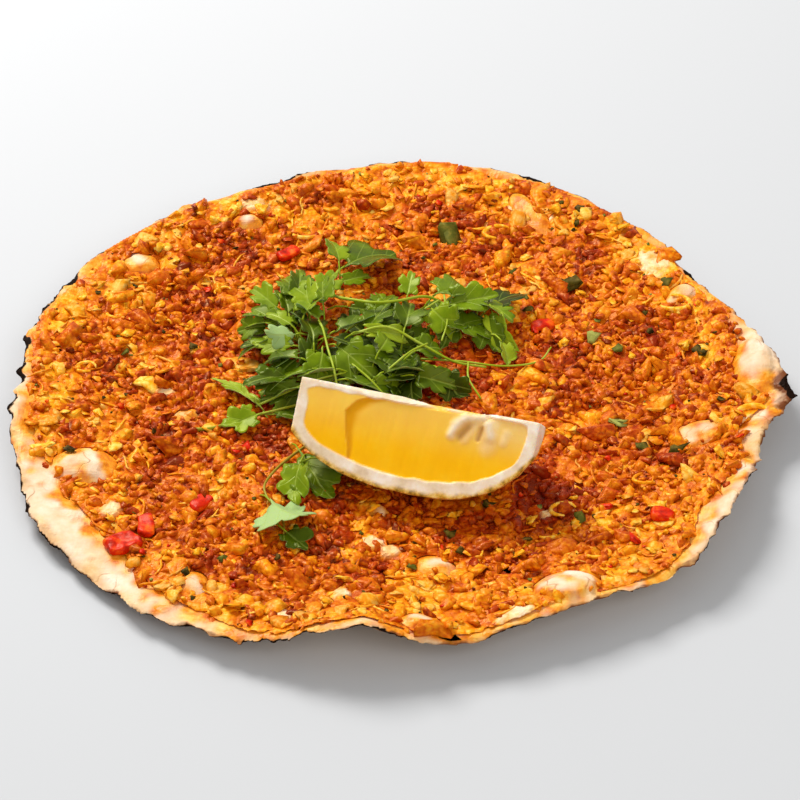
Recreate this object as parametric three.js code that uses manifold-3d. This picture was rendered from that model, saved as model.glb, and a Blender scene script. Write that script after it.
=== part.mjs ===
// A lahmacun: a thin oven-baked flatbread under a spread of minced meat, served with a wedge of lemon
// and a loose bunch of flat-leaf parsley. Millimetres, +Z up. The diner sits at -Y.
import * as THREE from "three";
import { mergeVertices } from "three/addons/utils/BufferGeometryUtils.js";
import Module from "manifold-3d";

const wasm = await Module();
wasm.setup();

// ---- Driving dimensions ----
const GAP = 0.3; // clearance between touching pieces

const BREAD_RADIUS = 129;
const DOUGH = 2.6; // thickness of the baked dough
const FLAT_SHARE = 0.58; // share of the radius over which the underside lies flat
const RIM_LIFT = 8; // how far the edge stands clear of the table
const RIM_PUFF = 0.9; // how much fatter the dough is just inside its edge
const SEGMENTS = 64; // steps round the bread and the spread
const TOP_RINGS = [0.25, 0.48, 0.68, 0.84, 0.94, 0.98];
const UNDER_RINGS = [0.56, 0.7, 0.82, 0.92];

const SPREAD_DEPTH = 2.5; // usual thickness of the meat
const SPREAD_LUMP = 0.8; // how far its surface rises and falls
const SPREAD_MARGIN = 3; // usual width of bare rim
const SPREAD_EDGE = 0.9; // thickness left where the meat runs out
const SPREAD_STEPS = 84; // points in its outline

const LEMON_RADIUS = 31;
const LEMON_ENDS = { left: 53, right: 41 }; // from its widest place to where the fruit would close
const WEDGE_ENDS = { left: 43.5, right: 37.5 }; // and to where the wedge is trimmed
const LEMON_PLACE = { x: 9, y: -42.5, turn: -17 };
const WEDGE_ANGLE = 90;
const RIDGE_TRIM = 1.5; // pith shaved off the middle of the ridge

const LEAF_THICKNESS = 0.9;
const STEM_RADIUS = 0.9;

// Swells and flats of the outline: at is an angle in degrees from +X, out is in millimetres, and
// spread is the half width in degrees.
const OUTLINE_SWELLS = [
  { at: 355, out: 7, spread: 3 },
  { at: 30, out: -8, spread: 14 },
  { at: 116, out: -6, spread: 14 },
  { at: 150, out: 3, spread: 18 },
  { at: 193, out: 2.5, spread: 9 },
  { at: 208, out: 2, spread: 4 },
  { at: 228, out: 9, spread: 24 },
  { at: 293, out: -3, spread: 6 },
  { at: 312, out: 4, spread: 7 },
  { at: 340, out: -3, spread: 9 },
];
// Places where the edge buckles upwards, beyond the usual lift of the rim.
const RIM_WAVES = [
  { at: 2, out: 6, spread: 9 },
  { at: 48, out: -2, spread: 12 },
  { at: 112, out: 2, spread: 14 },
  { at: 180, out: 3, spread: 12 },
  { at: 222, out: -5, spread: 14 },
  { at: 263, out: 11, spread: 6 },
  { at: 294, out: 5, spread: 7 },
  { at: 327, out: 7, spread: 10 },
];
// Places where the meat stops well short of the edge.
const BARE_RIM = [
  { at: 3, out: 9, spread: 6 },
  { at: 348, out: 6, spread: 4 },
  { at: 190, out: 3, spread: 8 },
  { at: 207, out: 12, spread: 7 },
  { at: 223, out: 11, spread: 8 },
  { at: 240, out: 4, spread: 6 },
  { at: 268, out: 2, spread: 6 },
  { at: 326, out: 6, spread: 9 },
];
// Bubbles of dough that stand through the meat: at and from place them, then length, width, height
// and the turn of the long side.
const BLISTERS = [
  { at: 201, from: 112, long: 24, wide: 20, high: 4.4, turn: 15 },
  { at: 144, from: 114, long: 15, wide: 12, high: 4.0, turn: 20 },
  { at: 121, from: 107, long: 13, wide: 9, high: 4.0, turn: 0 },
  { at: 64, from: 108, long: 30, wide: 11, high: 4.0, turn: 120 },
  { at: 70, from: 95, long: 19, wide: 10, high: 4.0, turn: 115 },
  { at: 346, from: 102, long: 21, wide: 15, high: 4.4, turn: 20 },
  { at: 2, from: 120, long: 30, wide: 13, high: 4.6, turn: 95 },
  { at: 297, from: 115, long: 24, wide: 19, high: 5.0, turn: 20 },
  { at: 273, from: 119, long: 14, wide: 11, high: 4.2, turn: 0 },
  { at: 277, from: 88, long: 17, wide: 13, high: 4.2, turn: 150 },
  { at: 236, from: 117, long: 15, wide: 10, high: 4.0, turn: 100 },
  { at: 189, from: 73, long: 12, wide: 9, high: 4.0, turn: 10 },
  { at: 262, from: 60, long: 13, wide: 8, high: 4.0, turn: 150 },
  { at: 26, from: 109, long: 13, wide: 10, high: 4.0, turn: 60 },
];
// Diced red pepper pressed into the meat: place, size and turn.
const PEPPERS = [
  { at: 221, from: 119, long: 12, wide: 9, turn: 25 },
  { at: 220, from: 108, long: 6, wide: 11, turn: 5 },
  { at: 118, from: 86, long: 9, wide: 6, turn: 40 },
  { at: 221, from: 87, long: 9, wide: 6, turn: 50 },
  { at: 321, from: 109, long: 8, wide: 6, turn: 160 },
  { at: 37, from: 62, long: 9, wide: 6, turn: 15 },
];
const PEPPER_THICKNESS = 2.6;
const PEPPER_SUNK = 1.6; // how much of a piece lies below the surface of the meat

// ---- Shape functions ----
const radians = THREE.MathUtils.degToRad;
const smooth = (t) => THREE.MathUtils.smoothstep(t, 0, 1);

// The sum of some swells at an angle in degrees.
function swell(list, angle) {
  return list.reduce((sum, { at, out, spread }) => {
    const away = THREE.MathUtils.euclideanModulo(angle - at + 180, 360) - 180;
    return sum + out * Math.exp(-((away / spread) ** 2) / 2);
  }, 0);
}

const angleOf = (x, y) => THREE.MathUtils.radToDeg(Math.atan2(y, x));
const polar = ({ at, from }) => [from * Math.cos(radians(at)), from * Math.sin(radians(at))];

function outlineRadius(angle) {
  const a = radians(angle);
  const hand = 0.9 * Math.sin(9 * a + 0.6) + 0.6 * Math.sin(17 * a + 2.1);
  return BREAD_RADIUS + swell(OUTLINE_SWELLS, angle) + hand;
}

// Height of the dough's underside: flat in the middle, curling up towards the edge.
function underside(x, y) {
  const angle = angleOf(x, y);
  const share = Math.hypot(x, y) / outlineRadius(angle);
  const curl = Math.max(0, (share - FLAT_SHARE) / (1 - FLAT_SHARE));
  const lift = RIM_LIFT * curl ** 1.6 + swell(RIM_WAVES, angle) * curl ** 2.6;
  return Math.max(0, lift);
}

function doughTop(x, y) {
  const share = Math.hypot(x, y) / outlineRadius(angleOf(x, y));
  return underside(x, y) + DOUGH + RIM_PUFF * Math.exp(-(((share - 0.95) / 0.035) ** 2));
}

function spreadRadius(angle) {
  const a = radians(angle);
  const uneven = 1.2 * Math.sin(13 * a + 1) + 1.0 * Math.sin(23 * a) + 0.7 * Math.sin(37 * a + 2);
  return outlineRadius(angle) - SPREAD_MARGIN - swell(BARE_RIM, angle) + Math.min(0, uneven);
}

// Thickness of the meat, lumpy in the middle and thin at its own edge.
function spreadDepth(x, y) {
  const lumps =
    0.5 * Math.sin(0.21 * x + 1.3) * Math.cos(0.19 * y - 0.4) +
    0.3 * Math.sin(0.33 * x - 0.29 * y) +
    0.2 * Math.cos(0.47 * y + 0.31 * x + 2);
  const toEdge = (spreadRadius(angleOf(x, y)) - Math.hypot(x, y)) / 14;
  const full = SPREAD_DEPTH + SPREAD_LUMP * lumps;
  return THREE.MathUtils.lerp(SPREAD_EDGE, full, smooth(toEdge));
}

// ---- Geometry helpers ----
// A closed round slab between two height functions, with a ring of points at each share of its
// radius. The last ring is its edge, where top and bottom meet halfway.
function roundSlab(radiusAt, bottomAt, topAt, topShares, bottomShares = topShares) {
  const points = [];
  const faces = [];
  const turns = Array.from({ length: SEGMENTS }, (_, i) => (360 * i) / SEGMENTS);
  const mean = turns.reduce((sum, angle) => sum + radiusAt(angle) / SEGMENTS, 0);
  // The rings grow rounder towards the middle.
  const ring = (share, heightAt) => {
    const first = points.length / 3;
    for (const angle of turns) {
      const reach = share * THREE.MathUtils.lerp(mean, radiusAt(angle), share);
      const x = reach * Math.cos(radians(angle));
      const y = reach * Math.sin(radians(angle));
      points.push(x, y, heightAt(x, y));
    }
    return first;
  };
  const pole = (heightAt) => points.push(0, 0, heightAt(0, 0)) / 3 - 1;
  const edge = ring(1, (x, y) => (bottomAt(x, y) + topAt(x, y)) / 2);
  for (const [heightAt, shares, up] of [[topAt, topShares, true], [bottomAt, bottomShares, false]]) {
    const centre = pole(heightAt);
    const rings = [...shares.map((share) => ring(share, heightAt)), edge];
    const face = (a, b, c) => faces.push(...(up ? [a, b, c] : [a, c, b]));
    for (let i = 0; i < SEGMENTS; i++) {
      const next = (i + 1) % SEGMENTS;
      face(centre, rings[0] + i, rings[0] + next);
      for (let k = 0; k + 1 < rings.length; k++) {
        face(rings[k] + i, rings[k + 1] + i, rings[k + 1] + next);
        face(rings[k] + i, rings[k + 1] + next, rings[k] + next);
      }
    }
  }
  return new THREE.BufferGeometry()
    .setAttribute("position", new THREE.Float32BufferAttribute(points, 3))
    .setIndex(faces);
}

function toSolid(geometry) {
  const bare = geometry.clone();
  for (const name of Object.keys(bare.attributes)) {
    if (name !== "position") bare.deleteAttribute(name);
  }
  const merged = mergeVertices(bare, 1e-3);
  return new wasm.Manifold(
    new wasm.Mesh({
      numProp: 3,
      vertProperties: merged.attributes.position.array,
      triVerts: new Uint32Array(merged.index.array),
    }),
  );
}

function toGeometry(solid) {
  const mesh = solid.getMesh();
  return new THREE.BufferGeometry()
    .setAttribute("position", new THREE.BufferAttribute(new Float32Array(mesh.vertProperties), 3))
    .setIndex(new THREE.BufferAttribute(new Uint32Array(mesh.triVerts), 1));
}

const largest = (solid) =>
  solid.decompose().reduce((best, next) => (next.volume() > best.volume() ? next : best));

// Lowers a geometry onto what lies below it, and leaves the clearance between them.
function settle(geometry, below, from, step = 0.1) {
  let height = from;
  while (toSolid(geometry.clone().translate(0, 0, height)).intersect(below).volume() === 0) {
    height -= step;
  }
  return geometry.clone().translate(0, 0, height + step + GAP);
}

// ---- The flatbread ----
function blisterDome({ at, from, long, wide, high, turn }, grow) {
  const [x, y] = polar({ at, from });
  const dome = new THREE.SphereGeometry(1, 10, 6)
    .rotateX(Math.PI / 2)
    .scale(long / 2 + grow, wide / 2 + grow, high + grow)
    .rotateZ(radians(turn))
    .translate(x, y, 0);
  // The upper half follows the dough, and the lower half is pressed nearly flat inside it.
  const points = dome.attributes.position;
  for (let i = 0; i < points.count; i++) {
    const z = points.getZ(i);
    const dough = doughTop(points.getX(i), points.getY(i));
    points.setZ(i, dough + (z < 0 ? z * 0.2 : z));
  }
  return dome;
}

function flatbreadGeometry() {
  const slab = roundSlab(outlineRadius, underside, doughTop, TOP_RINGS, UNDER_RINGS);
  const domes = BLISTERS.map((blister) => toSolid(blisterDome(blister, 0)));
  return toGeometry(domes.reduce((bread, dome) => bread.add(dome), toSolid(slab)));
}

// ---- The diced peppers ----
function pepperGeometry({ at, from, long, wide, turn }, grow) {
  const [x, y] = polar({ at, from });
  const [a, b] = [long / 2, wide / 2];
  const outline = new THREE.Shape()
    .moveTo(-a, -b * 0.7)
    .quadraticCurveTo(0, -b * 1.2, a * 0.9, -b * 0.8)
    .quadraticCurveTo(a * 1.1, 0, a * 0.7, b * 0.9)
    .quadraticCurveTo(-a * 0.2, b * 1.1, -a * 0.9, b * 0.6)
    .closePath();
  const bevel = 0.6;
  const slice = new THREE.ExtrudeGeometry(outline, {
    depth: PEPPER_THICKNESS - 2 * bevel,
    curveSegments: 3,
    bevelSize: bevel,
    bevelThickness: bevel,
    bevelOffset: -bevel,
    bevelSegments: 1,
  });
  slice.center();
  slice.scale(1 + (2 * grow) / long, 1 + (2 * grow) / wide, 1 + (2 * grow) / PEPPER_THICKNESS);
  slice.rotateZ(radians(turn)).translate(x, y, PEPPER_THICKNESS / 2);
  // It lies level on the highest dough under it, pressed into the meat as deep as that allows.
  const corners = slice.attributes.position;
  let seat = 0;
  for (let i = 0; i < corners.count; i++) {
    seat = Math.max(seat, doughTop(corners.getX(i), corners.getY(i)));
  }
  const press = Math.max(0, spreadDepth(x, y) - PEPPER_SUNK);
  return slice.translate(0, 0, seat + GAP + press);
}

// ---- The meat ----
// A lumpy skin over the dough, trimmed to its own uneven outline and opened round each blister
// and each piece of pepper.
function spreadGeometry() {
  const lower = (x, y) => doughTop(x, y) + GAP;
  const upper = (x, y) => lower(x, y) + spreadDepth(x, y);
  const skin = toSolid(roundSlab(outlineRadius, lower, upper, TOP_RINGS));
  const outline = Array.from({ length: SPREAD_STEPS }, (_, i) => {
    const angle = (360 * i) / SPREAD_STEPS;
    return new THREE.Vector2(...polar({ at: angle, from: spreadRadius(angle) }));
  });
  const cutter = new THREE.ExtrudeGeometry(new THREE.Shape(outline), {
    depth: 60,
    bevelEnabled: false,
  });
  const trimmed = skin.intersect(toSolid(cutter));
  const domes = BLISTERS.map((blister) => toSolid(blisterDome(blister, GAP)));
  const pockets = PEPPERS.map((pepper) => toSolid(pepperGeometry(pepper, GAP)));
  return toGeometry(largest([...domes, ...pockets].reduce((s, cut) => s.subtract(cut), trimmed)));
}

// ---- The lemon wedge ----
// Distance of the rind from the fruit's long axis, at x along it.
function rindRadius(x) {
  const reach = x < 0 ? LEMON_ENDS.left : LEMON_ENDS.right;
  return LEMON_RADIUS * (1 - Math.abs(x / reach) ** 2.6) ** 0.59;
}

// The fruit lies along X with its two cut faces meeting in the ridge on top.
function wedgeGeometry(grow) {
  const steps = 20;
  const [left, right] = [-WEDGE_ENDS.left - grow, WEDGE_ENDS.right + grow];
  const profile = [new THREE.Vector2(0, left)];
  for (let i = 0; i <= steps; i++) {
    const x = THREE.MathUtils.lerp(left, right, i / steps);
    profile.push(new THREE.Vector2(rindRadius(x) + grow, x));
  }
  profile.push(new THREE.Vector2(0, right));
  const fruit = new THREE.LatheGeometry(profile, 48).rotateZ(-Math.PI / 2);
  const [across, down] = [
    3 * LEMON_RADIUS * Math.sin(radians(WEDGE_ANGLE / 2)),
    3 * LEMON_RADIUS * Math.cos(radians(WEDGE_ANGLE / 2)),
  ];
  const sector = new THREE.Shape().moveTo(0, 0).lineTo(across, -down).lineTo(-across, -down);
  const long = 4 * LEMON_RADIUS;
  const cutter = new THREE.ExtrudeGeometry(sector, { depth: long, bevelEnabled: false })
    .translate(0, 0, -long / 2)
    .rotateX(Math.PI / 2)
    .rotateZ(Math.PI / 2)
    .translate(0, 0, grow * 1.5);
  // A wide knife sweep hollows the ridge a little along its length.
  const sweep = 400;
  const knife = new THREE.CylinderGeometry(sweep, sweep, 80, 160)
    .translate(0, 0, sweep - RIDGE_TRIM + grow);
  return toGeometry(toSolid(fruit).intersect(toSolid(cutter)).subtract(toSolid(knife)));
}

const placed = (geometry, { x, y, turn }) => geometry.rotateZ(radians(turn)).translate(x, y, 0);

// ---- The parsley ----
// The bunch is one low mound with a lobed outline, under the loose leaves' outer edge.
const BUNCH_PLACE = { x: -6, y: 27, turn: 0 };
const BUNCH_RADIUS = 38;
const BUNCH_HEIGHT = 13;
const BUNCH_LOBES = [
  { at: -6, out: 8, spread: 14 },
  { at: 35, out: 3, spread: 10 },
  { at: 68, out: -6, spread: 12 },
  { at: 98, out: 19, spread: 12 },
  { at: 126, out: -5, spread: 9 },
  { at: 155, out: 9, spread: 13 },
  { at: 198, out: 8, spread: 12 },
];

function bunchGeometry(below, lemonRoom) {
  const base = 4.5;
  const radiusAt = (angle) => {
    const ragged = 2.2 * Math.sin(11 * radians(angle)) + 1.6 * Math.sin(19 * radians(angle) + 1);
    return BUNCH_RADIUS + swell(BUNCH_LOBES, angle) + ragged;
  };
  const topAt = (x, y) => {
    const share = Math.min(1, Math.hypot(x, y) / radiusAt(angleOf(x, y)));
    const tufts = 1.6 * Math.sin(0.3 * x + 0.8) * Math.cos(0.33 * y) + 1.1 * Math.sin(0.5 * (x - y));
    const fall = Math.sqrt(1 - 0.8 * share ** 2.5);
    return base + 2 + (BUNCH_HEIGHT + tufts) * fall;
  };
  const mound = roundSlab(radiusAt, () => base, topAt, [0.3, 0.55, 0.78, 0.93]);
  const solid = toSolid(placed(mound, BUNCH_PLACE));
  const lifted = below.map((geometry) => toSolid(geometry.clone().translate(0, 0, GAP)));
  return toGeometry(largest([...lifted, lemonRoom].reduce((s, cut) => s.subtract(cut), solid)));
}

// A leaflet with three toothed lobes, its stalk at the origin and its tip towards +X.
function leafShape(long, wide) {
  const lobes = 5;
  const margin = [];
  const steps = 4 * lobes;
  for (let i = 0; i <= steps; i++) {
    const a = THREE.MathUtils.lerp(-0.86, 0.86, i / steps) * Math.PI;
    const tooth = 1 + 0.13 * Math.cos(lobes * 2 * a) + 0.1 * Math.cos(3 * a);
    margin.push(
      new THREE.Vector2(
        long * (0.45 + 0.55 * tooth * Math.cos(a)),
        0.5 * wide * tooth * Math.sin(a),
      ),
    );
  }
  return new THREE.Shape([new THREE.Vector2(0, 0), ...margin]);
}

function leafGeometry({ x, y, turn, long, wide }) {
  const plate = new THREE.ExtrudeGeometry(leafShape(long, wide), {
    depth: LEAF_THICKNESS,
    bevelEnabled: false,
  });
  return placed(plate, { x, y, turn });
}

function stemGeometry(points) {
  const section = new THREE.Shape();
  section.absarc(0, 0, STEM_RADIUS, 0, 2 * Math.PI);
  const route = new THREE.CatmullRomCurve3(points.map(([x, y]) => new THREE.Vector3(x, y, 0)));
  return new THREE.ExtrudeGeometry(section, {
    steps: 3 * (points.length - 1),
    curveSegments: 4,
    extrudePath: route,
  }).translate(0, 0, LEAF_THICKNESS / 2);
}

// A sprig is its stem and leaves, joined flat and laid on the meat.
function sprigGeometry({ stem, leaves }, below) {
  const solids = [stemGeometry(stem), ...leaves.map(leafGeometry)].map(toSolid);
  const flat = toGeometry(solids.reduce((sprig, next) => sprig.add(next)));
  return settle(flat, below, 20);
}

const SPRIGS = {
  parsley_sprig_left: {
    stem: [[-69, -20], [-56, -16], [-44, -13], [-35, -11]],
    leaves: [
      { x: -47, y: -14, turn: 118, long: 24, wide: 7 },
      { x: -48, y: -15, turn: 218, long: 13, wide: 11 },
      { x: -45, y: -14, turn: 20, long: 12, wide: 9 },
    ],
  },
  parsley_sprig_front: {
    stem: [[-36, -37], [-42, -45], [-43, -53], [-39, -63], [-37, -75]],
    leaves: [
      { x: -41, y: -46, turn: -4, long: 22, wide: 17 },
      { x: -42, y: -58, turn: 305, long: 18, wide: 18 },
      { x: -37, y: -75, turn: 285, long: 12, wide: 9 },
    ],
  },
};

// ---- Assembly ----
const material = (color, roughness) => new THREE.MeshStandardMaterial({ color, roughness });
const BAKED_DOUGH = material(0xe8c48c, 0.75);
const MINCED_MEAT = material(0xbf5a14, 0.5);
const RED_PEPPER = material(0xd2240a, 0.35);
const LEMON = material(0xf0b414, 0.35);
const PARSLEY = material(0x4f7f1c, 0.55);

function named(name, geometry, finish) {
  geometry.computeVertexNormals();
  const mesh = new THREE.Mesh(geometry, finish);
  mesh.name = name;
  return mesh;
}

const bread = flatbreadGeometry();
const meat = spreadGeometry();
const table = toSolid(meat).add(toSolid(bread));
const lemon = settle(placed(wedgeGeometry(0), LEMON_PLACE), table, LEMON_RADIUS + 20);
lemon.computeBoundingBox();
const lemonRoom = placed(wedgeGeometry(GAP), LEMON_PLACE);
lemonRoom.computeBoundingBox();
lemonRoom.translate(0, 0, lemon.boundingBox.min.z - GAP - lemonRoom.boundingBox.min.z);
const bunch = bunchGeometry([bread, meat], toSolid(lemonRoom));

const lahmacun = new THREE.Group();
lahmacun.add(named("flatbread", bread, BAKED_DOUGH));
lahmacun.add(named("meat_spread", meat, MINCED_MEAT));
PEPPERS.forEach((pepper, i) => {
  lahmacun.add(named(`pepper_${i + 1}`, pepperGeometry(pepper, 0), RED_PEPPER));
});
lahmacun.add(named("lemon_wedge", lemon, LEMON));
lahmacun.add(named("parsley_bunch", bunch, PARSLEY));
for (const [name, sprig] of Object.entries(SPRIGS)) {
  lahmacun.add(named(name, sprigGeometry(sprig, table), PARSLEY));
}

// The origin is under the middle of the whole, on the table.
const middle = new THREE.Box3().setFromObject(lahmacun).getCenter(new THREE.Vector3());
lahmacun.position.set(-middle.x, -middle.y, 0);

export default lahmacun;
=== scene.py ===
# %% [markdown]
# # Lahmacun
# A lahmacun is a thin oven-baked flatbread under a skin of minced meat. This one is served with a
# wedge of lemon and some sprigs of flat-leaf parsley.
#
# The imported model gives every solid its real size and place. This notebook dresses those solids:
# the dough gets its wrinkles and burnt edge, the meat its thousands of crumbs, and the plain
# parsley mound becomes real leaves. All lengths here are in metres, so `MM` turns millimetres
# into them.

# %% Load the frame
import math

import bpy
import numpy as np
from mathutils import Matrix, Vector
from mathutils.bvhtree import BVHTree
from mathutils.kdtree import KDTree


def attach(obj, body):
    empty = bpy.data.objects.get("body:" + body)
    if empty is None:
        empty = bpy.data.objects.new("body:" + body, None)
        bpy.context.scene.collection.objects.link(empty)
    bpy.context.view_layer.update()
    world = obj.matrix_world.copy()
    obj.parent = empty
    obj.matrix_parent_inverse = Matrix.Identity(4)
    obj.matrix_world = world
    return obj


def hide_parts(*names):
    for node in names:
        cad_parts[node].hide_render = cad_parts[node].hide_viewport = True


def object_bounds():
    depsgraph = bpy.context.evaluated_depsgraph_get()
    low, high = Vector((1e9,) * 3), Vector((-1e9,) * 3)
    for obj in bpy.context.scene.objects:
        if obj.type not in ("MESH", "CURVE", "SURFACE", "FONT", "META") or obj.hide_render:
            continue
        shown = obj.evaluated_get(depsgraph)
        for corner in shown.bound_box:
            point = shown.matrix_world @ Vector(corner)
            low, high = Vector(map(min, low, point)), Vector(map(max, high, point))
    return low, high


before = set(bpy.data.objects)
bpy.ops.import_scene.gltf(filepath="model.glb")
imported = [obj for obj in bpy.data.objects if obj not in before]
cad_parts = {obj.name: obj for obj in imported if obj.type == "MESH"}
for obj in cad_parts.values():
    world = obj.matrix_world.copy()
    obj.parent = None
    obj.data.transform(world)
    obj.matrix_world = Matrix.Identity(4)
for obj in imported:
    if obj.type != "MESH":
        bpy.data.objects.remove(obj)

MM = 0.001
FRAME_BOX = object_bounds()
print("solids:", ", ".join(sorted(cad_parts)))
print("size in mm:", [round((high - low) / MM, 1) for low, high in zip(*FRAME_BOX)])

# %% [markdown]
# ## The camera and the light
# The dish is seen from the diner's seat, looking down at about 40 degrees through a long lens,
# which keeps the far rim from looking small. The camera is placed by its elevation and distance
# from one target point on the table, so that both stay easy to change.

# %% Camera
LOOK_DOWN = math.radians(40)
CAMERA_DISTANCE = 1.1
CAMERA_TARGET = Vector((-1.4 * MM, 2.9 * MM, 0))
camera_data = bpy.data.cameras.new("camera")
camera_data.sensor_width = 36
camera_data.lens = 144.3
camera = bpy.data.objects.new("camera", camera_data)
bpy.context.scene.collection.objects.link(camera)
towards_diner = Vector((0, -math.cos(LOOK_DOWN), math.sin(LOOK_DOWN)))
camera.location = CAMERA_TARGET + CAMERA_DISTANCE * towards_diner
camera.rotation_euler = (math.pi / 2 - LOOK_DOWN, 0, 0)
bpy.context.scene.camera = camera
print("camera at", [round(v, 3) for v in camera.location])

# %% [markdown]
# A studio for food is bright and soft: one large softbox stands behind the dish to the left, so
# that light rakes over the crumbs and makes them glisten, and a second, weaker one fills the
# front. A pale world lifts the shadows. The colours of food should come out as they are, so the
# plain Standard view is used in place of a film-like one.


# %% Lights
def softbox(name, place, size, power, warmth=1.0):
    """A square area light that points at the dish."""
    data = bpy.data.lights.new(name, "AREA")
    data.size = size
    data.energy = power
    data.color = (1.0, warmth, warmth**2)
    light = bpy.data.objects.new(name, data)
    bpy.context.scene.collection.objects.link(light)
    light.location = place
    light.rotation_euler = (-Vector(place)).to_track_quat("-Z", "Y").to_euler()
    return light


softbox("softbox_back", (-0.55, 0.75, 1.0), 0.55, 21.0, 0.99)
softbox("softbox_front", (0.45, -0.9, 0.9), 0.8, 5.0, 1.0)
world = bpy.data.worlds.new("studio")
world.use_nodes = True
world.node_tree.nodes["Background"].inputs["Color"].default_value = (1.0, 1.0, 1.0, 1.0)
world.node_tree.nodes["Background"].inputs["Strength"].default_value = 0.5
bpy.context.scene.world = world
bpy.context.scene.view_settings.view_transform = "Standard"

# %% [markdown]
# ## Helpers
# Operators act on whatever is selected, so each step starts from a clean selection. Pieces that
# repeat thousands of times are too many for operators: they are built from arrays, which needs
# one helper that turns arrays of points and triangles into a mesh.


# %% Selecting and finishing
def only(piece):
    """Selects one piece and nothing else."""
    if bpy.context.object and bpy.context.object.mode != "OBJECT":
        bpy.ops.object.mode_set(mode="OBJECT")
    bpy.ops.object.select_all(action="DESELECT")
    piece.select_set(True)
    bpy.context.view_layer.objects.active = piece


def modify(piece, kind, **settings):
    """Adds one modifier and applies it."""
    only(piece)
    modifier = piece.modifiers.new(kind.lower(), kind)
    for name, value in settings.items():
        setattr(modifier, name, value)
    bpy.ops.object.modifier_apply(modifier=modifier.name)


def smooth_net(piece, size, factor, rounds):
    """Turns a faceted piece into an even net of small faces, and takes the steps out of it."""
    modify(piece, "REMESH", mode="VOXEL", voxel_size=size, adaptivity=0.0)
    modify(piece, "SMOOTH", factor=factor, iterations=rounds)


def merged_copy(node, name):
    """A copy of a solid of the frame, with its loose triangles joined at their shared corners."""
    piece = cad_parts[node].copy()
    piece.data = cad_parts[node].data.copy()
    piece.name = name
    piece.data.name = name
    bpy.context.scene.collection.objects.link(piece)
    piece.parent = None
    piece.matrix_world = Matrix.Identity(4)
    piece.data.materials.clear()
    only(piece)
    bpy.ops.object.mode_set(mode="EDIT")
    bpy.ops.mesh.select_all(action="SELECT")
    bpy.ops.mesh.remove_doubles(threshold=0.001 * MM)
    bpy.ops.object.mode_set(mode="OBJECT")
    return piece


def finish(piece, finish_name, slot, *nodes):
    """Gives a finished piece its material and its body, and hides the solids of the frame that it replaces.
    """
    piece.data.materials.clear()
    piece.data.materials.append(finish_name)
    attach(piece, "root")
    if nodes:
        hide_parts(*nodes)
    print(piece.name, "has", sum(len(p.vertices) - 2 for p in piece.data.polygons), "triangles")


# %% Points, normals and attributes as arrays
def vectors_of(piece, kind):
    found = np.empty(3 * len(piece.data.vertices), np.float32)
    piece.data.vertices.foreach_get(kind, found)
    return found.reshape(-1, 3).astype(float)


def points_of(piece):
    return vectors_of(piece, "co")


def normals_of(piece):
    return vectors_of(piece, "normal")


def move_points(piece, points):
    piece.data.vertices.foreach_set("co", np.asarray(points, np.float32).ravel())
    piece.data.update()


def paint(piece, name, values):
    """Stores one number per point, for a material to read."""
    layer = piece.data.attributes.new(name, "FLOAT", "POINT")
    layer.data.foreach_set("value", np.asarray(values, np.float32))


def mesh_of(name, points, triangles):
    """A smooth-shaded mesh from arrays of points and triangles."""
    mesh = bpy.data.meshes.new(name)
    mesh.vertices.add(len(points))
    mesh.vertices.foreach_set("co", np.asarray(points, np.float32).ravel())
    mesh.loops.add(3 * len(triangles))
    mesh.loops.foreach_set("vertex_index", np.asarray(triangles, np.int32).ravel())
    mesh.polygons.add(len(triangles))
    mesh.polygons.foreach_set("loop_start", np.arange(0, 3 * len(triangles), 3, dtype=np.int32))
    mesh.polygons.foreach_set("use_smooth", np.ones(len(triangles), bool))
    mesh.update(calc_edges=True)
    mesh.validate()
    piece = bpy.data.objects.new(name, mesh)
    bpy.context.scene.collection.objects.link(piece)
    return piece


# %% [markdown]
# Hills and hollows, colour drifts and burnt patches all need soft random fields. A sum of a few
# sine waves in random directions is smooth, cheap and the same on every run. Adding octaves, each
# half as wide and half as strong, makes it rougher.


# %% Soft random fields
FLAT = (1, 1, 0)  # a point times this is the spot on the table under it


def drift(points, width, seed, octaves=1):
    """A smooth field of about -1 to 1 over the points, with features of about this width."""
    rng = np.random.default_rng(seed)
    total = np.zeros(len(points))
    for octave in range(octaves):
        waves = 9
        ways = rng.normal(size=(waves, 3))
        ways /= np.linalg.norm(ways, axis=1)[:, None]
        pace = 2**octave * math.pi / width * rng.uniform(0.6, 1.4, waves)
        phase = rng.uniform(0, 2 * math.pi, waves)
        field = np.sin(points @ (ways * pace[:, None]).T + phase).sum(1) / math.sqrt(waves)
        total += field / 2**octave
    return total


def step(low, high, values):
    """0 below low, 1 above high and smooth between."""
    t = np.clip((values - low) / (high - low), 0, 1)
    return t * t * (3 - 2 * t)


def around(angles, spots):
    """The strongest of some (angle, half width, strength) spots at each angle, in degrees."""
    total = np.zeros(len(angles))
    for at, spread, strength in spots:
        away = (angles - at + 180) % 360 - 180
        total = np.maximum(total, strength * np.exp(-((away / spread) ** 2) / 2))
    return total


# %% [markdown]
# ## Mixing a finish
# A material is a tree of nodes, and writing one out takes many lines. A recipe adds one node for
# each word, such as noise, mix or ramp, and hands back what comes out of it. `color` turns a
# colour as on a paint chart, 0 to 255, into the light-linear form that nodes take.


# %% A recipe for a node tree
def color(red, green, blue):
    parts = [part / 255 for part in (red, green, blue)]
    return (*[p / 12.92 if p < 0.04045 else ((p + 0.055) / 1.055) ** 2.4 for p in parts], 1.0)


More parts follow.
